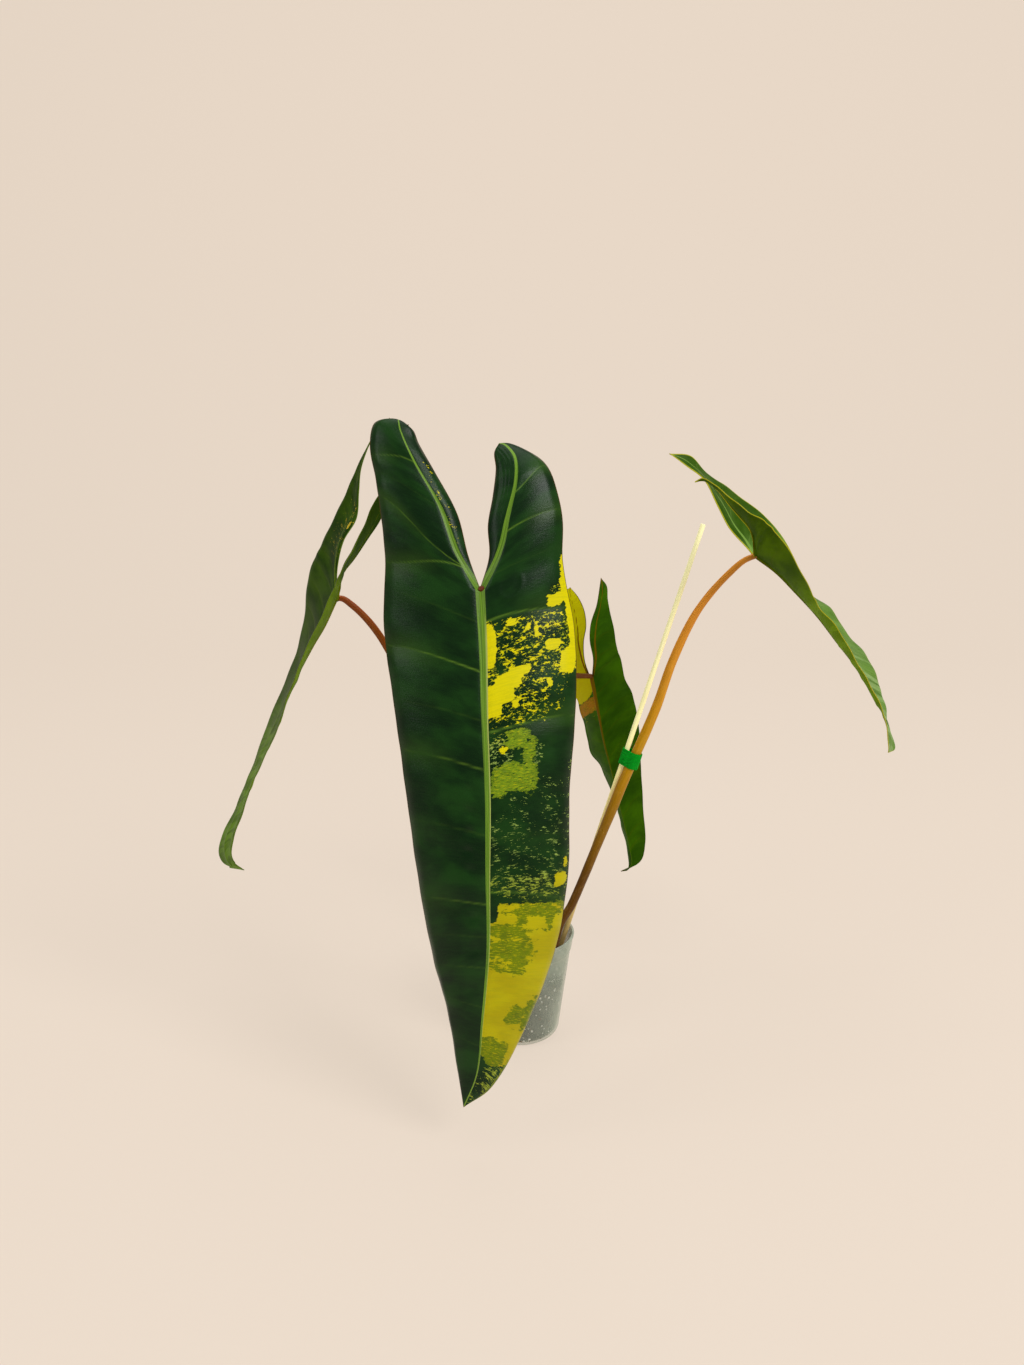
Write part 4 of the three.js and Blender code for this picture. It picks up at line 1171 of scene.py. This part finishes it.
outer = [(0, 0), (12, 0)] + [
    pot_corner(a, BASE_RADIUS, 0, BASE_CORNER) for a in np.linspace(0, math.pi / 2, 10)
]
outer += [(wall_radius(z), z) for z in np.linspace(14, COLLAR_LEVEL - 0.4, 12)]
collar = wall_radius(COLLAR_LEVEL)
outer += [
    (collar + 0.25, COLLAR_LEVEL), (collar + 0.62, COLLAR_LEVEL + 0.4),
    (collar + COLLAR_STEP, COLLAR_LEVEL + 0.9),
]
outer += [(wall_radius(z) + COLLAR_STEP, z) for z in np.linspace(COLLAR_LEVEL + 3, POT_HEIGHT - 2.9, 4)]
outer += [
    (wall_radius(POT_HEIGHT - 2.3) + COLLAR_STEP + 0.5, POT_HEIGHT - 2.3),
    (RIM_RADIUS - 0.2, POT_HEIGHT - 1.9),
]
outer += [
    (RIM_RADIUS - back, POT_HEIGHT - drop) for back, drop in ((0, 1.3), (0, 0.75), (0.2, 0.25), (0.6, 0))
]
inner = [(RIM_RADIUS - back, POT_HEIGHT - drop) for back, drop in ((1.3, 0), (1.75, 0.3), (2.0, 1.0))]
inner += [
    (wall_radius(z) + COLLAR_STEP - POT_WALL, z) for z in np.linspace(POT_HEIGHT - 3, COLLAR_LEVEL + 1.6, 4)
]
inner += [(wall_radius(z) - POT_WALL, z) for z in np.linspace(COLLAR_LEVEL - 0.5, 14, 10)]
inner_radius = wall_radius(BASE_CORNER) - POT_WALL
inner += [
    pot_corner(a, inner_radius, POT_FLOOR, BASE_CORNER - POT_WALL) for a in np.linspace(math.pi / 2, 0, 8)
]
inner += [(12, POT_FLOOR), (0, POT_FLOOR)]
pot = spun("pot", outer + inner, steps=144)
for number in range(DRAIN_COUNT):
    angle = 2 * math.pi * (number + 0.5) / DRAIN_COUNT
    x, y = DRAIN_CIRCLE * MM * math.cos(angle), DRAIN_CIRCLE * MM * math.sin(angle)
    bpy.ops.object.select_all(action="DESELECT")
    bpy.ops.mesh.primitive_cylinder_add(
        vertices=32, radius=DRAIN_RADIUS * MM, depth=0.008, location=(x, y, 0.001),
    )
    drill = bpy.context.object
    apply_modifier(pot, "BOOLEAN", operation="DIFFERENCE", object=drill, solver="EXACT")
    bpy.data.objects.remove(drill, do_unlink=True)

plastic = Finish("frosted_plastic", roughness=0.38)
plastic.shader.inputs["IOR"].default_value = 1.3
haze = plastic.noise(plastic.place((1.0, 1.0, 0.7)), 34.0, detail=4.0)
scuffs = plastic.noise(plastic.place((1.0, 1.0, 4.0)), 260.0, detail=5.0, roughness=0.7)
milk = plastic.mix(plastic.between(haze, 0.35, 0.65), srgb(176, 188, 170), srgb(196, 206, 188))
milk = plastic.mix(plastic.between(scuffs, 0.6, 0.75, 0.0, 0.35), milk, srgb(228, 230, 220))
veil = plastic.math(
    "ADD", plastic.between(haze, 0.3, 0.7, 0.09, 0.16), plastic.between(scuffs, 0.58, 0.75, 0.0, 0.06),
)
facing = plastic.node("ShaderNodeLayerWeight")
facing.inputs["Blend"].default_value = 0.35
veil = plastic.math(
    "ADD", veil, plastic.math("MULTIPLY", plastic.math("POWER", facing.outputs["Facing"], 1.6), 0.75),
)
# painted light: the wall turns milkier, and so lighter, towards the mix's top, standing in for the stronger
# light on the pot's upper part
height = plastic.node("ShaderNodeSeparateXYZ")
plastic.feed(height.inputs[0], plastic.place((1.0, 1.0, 1.0)))
veil = plastic.math("ADD", veil, plastic.between(height.outputs["Z"], 0.045, 0.068, 0.0, 0.26))
plastic.feed(plastic.shader.inputs["Alpha"], veil)
plastic_finish = plastic.finish(
    milk, plastic.between(haze, 0.3, 0.7, 0.25, 0.42), plastic.bump(scuffs, 0.2, 0.0002),
)
keep(pot, "pot_plastic", "pot", material=plastic_finish, smooth=35.0)

# ------------------------------------------------------------------ potting mix

MIX_EDGE, MIX_MIDDLE, MIX_REACH, GAP = 66.0, 68.5, 39.0, 0.3
CRUMB_SINK = 0.6


def mix_level(r):
    """The level of the mix's top at a distance from the pot's middle, in mm."""
    return MIX_EDGE + (MIX_MIDDLE - MIX_EDGE) * (1 - r / MIX_REACH) - CRUMB_SINK


outline = [(0, POT_FLOOR + GAP), (12, POT_FLOOR + GAP)]
outline += [
    (r - GAP, z + GAP) for r, z in
    (pot_corner(a, inner_radius, POT_FLOOR, BASE_CORNER - POT_WALL) for a in np.linspace(0, math.pi / 2, 8))
]
outline += [(wall_radius(z) - POT_WALL - GAP - 0.4, z) for z in np.linspace(12, MIX_EDGE - 0.5, 24)]
outline += [(r, mix_level(r)) for r in np.linspace(36.3, 0, 26)]
mix = spun("substrate", outline, steps=120)
co = points_of(mix.data)
top = co[:, 2] > (MIX_EDGE - 1.2) * MM
crumble = np.zeros(len(co))
for size, height in ((9.0, 0.5), (4.1, 0.55), (2.3, 0.4)):
    a, b = rng.uniform(0, TURN, 2)
    x_turn, y_turn = co[:, 0] / MM * TURN / size, co[:, 1] / MM * TURN / size
    crumble += height * np.sin(x_turn + a + 1.7 * np.sin(co[:, 1] / MM * 4.1 / size)) * np.sin(y_turn + b)
clear_of_wall = np.clip((38 * MM - np.hypot(co[top, 0], co[top, 1])) / (3 * MM), 0, 1)
co[top, 2] += np.clip(crumble[top], -1.4, 0.6) * MM * clear_of_wall
lay_points(mix.data, co)
mix_finish = bark_like("potting_mix", srgb(44, 42, 40), srgb(84, 80, 74), 330.0, rough=0.95, height=0.0012)
keep(mix, "potting_mix", "substrate", material=mix_finish, smooth=50.0)

white_stone = bark_like(
    "pumice_skin", srgb(226, 222, 212), srgb(255, 253, 246), 420.0, rough=0.92, height=0.0006,
)
brown_chip = bark_like("bark_skin", srgb(70, 44, 28), srgb(128, 88, 56), 300.0, rough=0.92, height=0.0008)


FACETS = 14


def pebble(name, half, seed, cuts):
    """An icosphere squashed, roughened and faceted like a chip."""
    local = np.random.default_rng(seed)
    bpy.ops.object.select_all(action="DESELECT")
    bpy.ops.mesh.primitive_ico_sphere_add(subdivisions=cuts, radius=1.0)
    piece = bpy.context.object
    piece.name = name
    co = points_of(piece.data)
    facets = local.normal(size=(FACETS, 3))
    facets /= np.linalg.norm(facets, axis=1)[:, None]
    limits = local.uniform(0.72, 0.98, FACETS)
    for facet, limit in zip(facets, limits):
        over = co @ facet - limit
        co -= np.clip(over, 0, None)[:, None] * facet * 0.85
    co *= 1 + 0.05 * np.sin(9 * co[:, :1] + seed) * np.cos(8 * co[:, 1:2])
    co *= np.asarray(half) * MM
    lay_points(piece.data, co)
    return piece


SETTLING = 0.0005        # metres that the loose pieces sink into the mix

for node in sorted(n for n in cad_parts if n.startswith("top_")):
    low, high = (np.array(v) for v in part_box(node))
    half = (high - low) / 2 / MM
    kind = "pumice" if "pumice" in node else "bark"
    stone = pebble(node, half * 1.02, sum(map(ord, node)), cuts=4)
    lay_points(stone.data, points_of(stone.data) + (low + high) / 2 - np.array([0, 0, SETTLING]))
    keep(stone, kind, node, material=white_stone if kind == "pumice" else brown_chip, smooth=32.0)


def scatter(name, shapes, places, sizes, material, slot_name):
    """Copies of a few small shapes, turned and sized at random, as one piece."""
    stock = []
    for shape in shapes:
        stock.append((points_of(shape.data), [tuple(p.vertices) for p in shape.data.polygons]))
    points, faces, count = [], [], 0
    for number, (place, size) in enumerate(zip(places, sizes)):
        co, polygons = stock[number % len(stock)]
        turn = np.linalg.qr(rng.normal(size=(3, 3)))[0]
        if np.linalg.det(turn) < 0:
            turn[:, 0] *= -1
        points.append(co @ turn.T * size + place)
        faces += [tuple(v + count for v in polygon) for polygon in polygons]
        count += len(co)
    mesh = bpy.data.meshes.new(name)
    mesh.from_pydata(np.vstack(points).tolist(), [], faces)
    piece = bpy.data.objects.new(name, mesh)
    scene.collection.objects.link(piece)
    keep(piece, slot_name, material=material, smooth=25.0)


def against_wall(count, low, high, depth):
    """Places just inside the pot's wall, between two levels."""
    z = rng.uniform(low, high, count)
    angle = rng.uniform(0, 2 * np.pi, count)
    r = (wall_radius(z) - POT_WALL - GAP - depth) * MM
    return np.stack([r * np.cos(angle), r * np.sin(angle), z * MM], 1)


def on_top(count, lift):
    """Places on the mix's top."""
    r = np.sqrt(rng.uniform(0, 1, count)) * 35.0
    angle = rng.uniform(0, 2 * np.pi, count)
    return np.stack([r * np.cos(angle), r * np.sin(angle), mix_level(r) + lift], 1) * MM


def clear_of(places, keep_off):
    """The places that lie outside every circle of x, y and radius."""
    good = np.ones(len(places), bool)
    for x, y, radius in keep_off:
        good &= np.hypot(places[:, 0] / MM - x, places[:, 1] / MM - y) > radius
    return places[good]


GRAIN_HALVES = (1, 0.8, 0.7), (1, 0.9, 0.85), (1, 0.6, 0.45)
FLAKE_HALVES = (1, 0.5, 0.28), (1, 0.65, 0.35), (1, 0.35, 0.25)
grain_shapes = [pebble("grain_%d" % i, half, 40 + i, cuts=2) for i, half in enumerate(GRAIN_HALVES)]
flake_shapes = [pebble("flake_%d" % i, half, 60 + i, cuts=2) for i, half in enumerate(FLAKE_HALVES)]
WHITE_ON_WALL, WHITE_ON_TOP, BROWN_ON_WALL, BROWN_ON_TOP = 330, 190, 420, 420
white_wall = against_wall(WHITE_ON_WALL, 5.0, MIX_EDGE - 1.5, 0.65)
brown_wall = against_wall(BROWN_ON_WALL, 4.5, MIX_EDGE - 0.5, 0.9)
# what stands in the mix: x, y and the radius kept clear, in mm
standing = [(19, 3, 8.5), (14, -10, 5.5), (5.5, 3, 5.5), (26, -6.5, 4.2), (19, 17, 5.5), (33, 8, 3)]
white_places = np.vstack([white_wall, clear_of(on_top(WHITE_ON_TOP, 0.35), standing)])
brown_places = np.vstack([brown_wall, clear_of(on_top(BROWN_ON_TOP, 0.3), standing)])
white_sizes = rng.uniform(0.7, 1.4, WHITE_ON_WALL + WHITE_ON_TOP)
scatter("perlite_grains", grain_shapes, white_places, white_sizes, white_stone, "pumice")
brown_sizes = rng.uniform(0.9, 2.0, BROWN_ON_WALL + BROWN_ON_TOP)
scatter("bark_flakes", flake_shapes, brown_places, brown_sizes, brown_chip, "bark")
for shape in grain_shapes + flake_shapes:
    bpy.data.objects.remove(shape, do_unlink=True)

# ------------------------------------------------------------------ floor and backdrop


def backdrop():
    """A sheet of paper that lies on the floor and bends up behind, in metres."""
    length, width, front, floor_length, bend, drop = 5.2, 7.0, -1.2, 2.5, 0.9, 0.0004
    arc = bend * math.pi / 2

    def shape(u, v):
        on_arc = np.clip(v * length - floor_length, 0, arc) / bend
        flat = np.minimum(v * length, floor_length)
        rise = np.clip(v * length - floor_length - arc, 0, None)
        y = front + flat + bend * np.sin(on_arc)
        z = bend * (1 - np.cos(on_arc)) + rise
        return np.stack([(u - 0.5) * width, y, z - drop], 1), {"UV": np.stack([u, v], 1)}
    return grid_piece("paper_sweep", 90, 8, shape)


sweep = backdrop()
paper = Finish("warm_paper", roughness=0.95)
tooth = paper.noise(paper.place((1.0, 1.0, 1.0)), 220.0, detail=4.0)
paper_finish = paper.finish(
    paper.mix(paper.between(tooth, 0.3, 0.7, 0.0, 0.3), srgb(128, 119, 110), srgb(126, 117, 108)), None,
    paper.bump(tooth, 0.05, 0.0002),
)
paper.shader.inputs["Specular IOR Level"].default_value = 0.0
paper.shader.inputs["Emission Color"].default_value = srgb(232, 217, 201)
paper.shader.inputs["Emission Strength"].default_value = 0.77
sweep.data.materials.append(paper_finish)
only(sweep)
bpy.ops.object.shade_smooth()
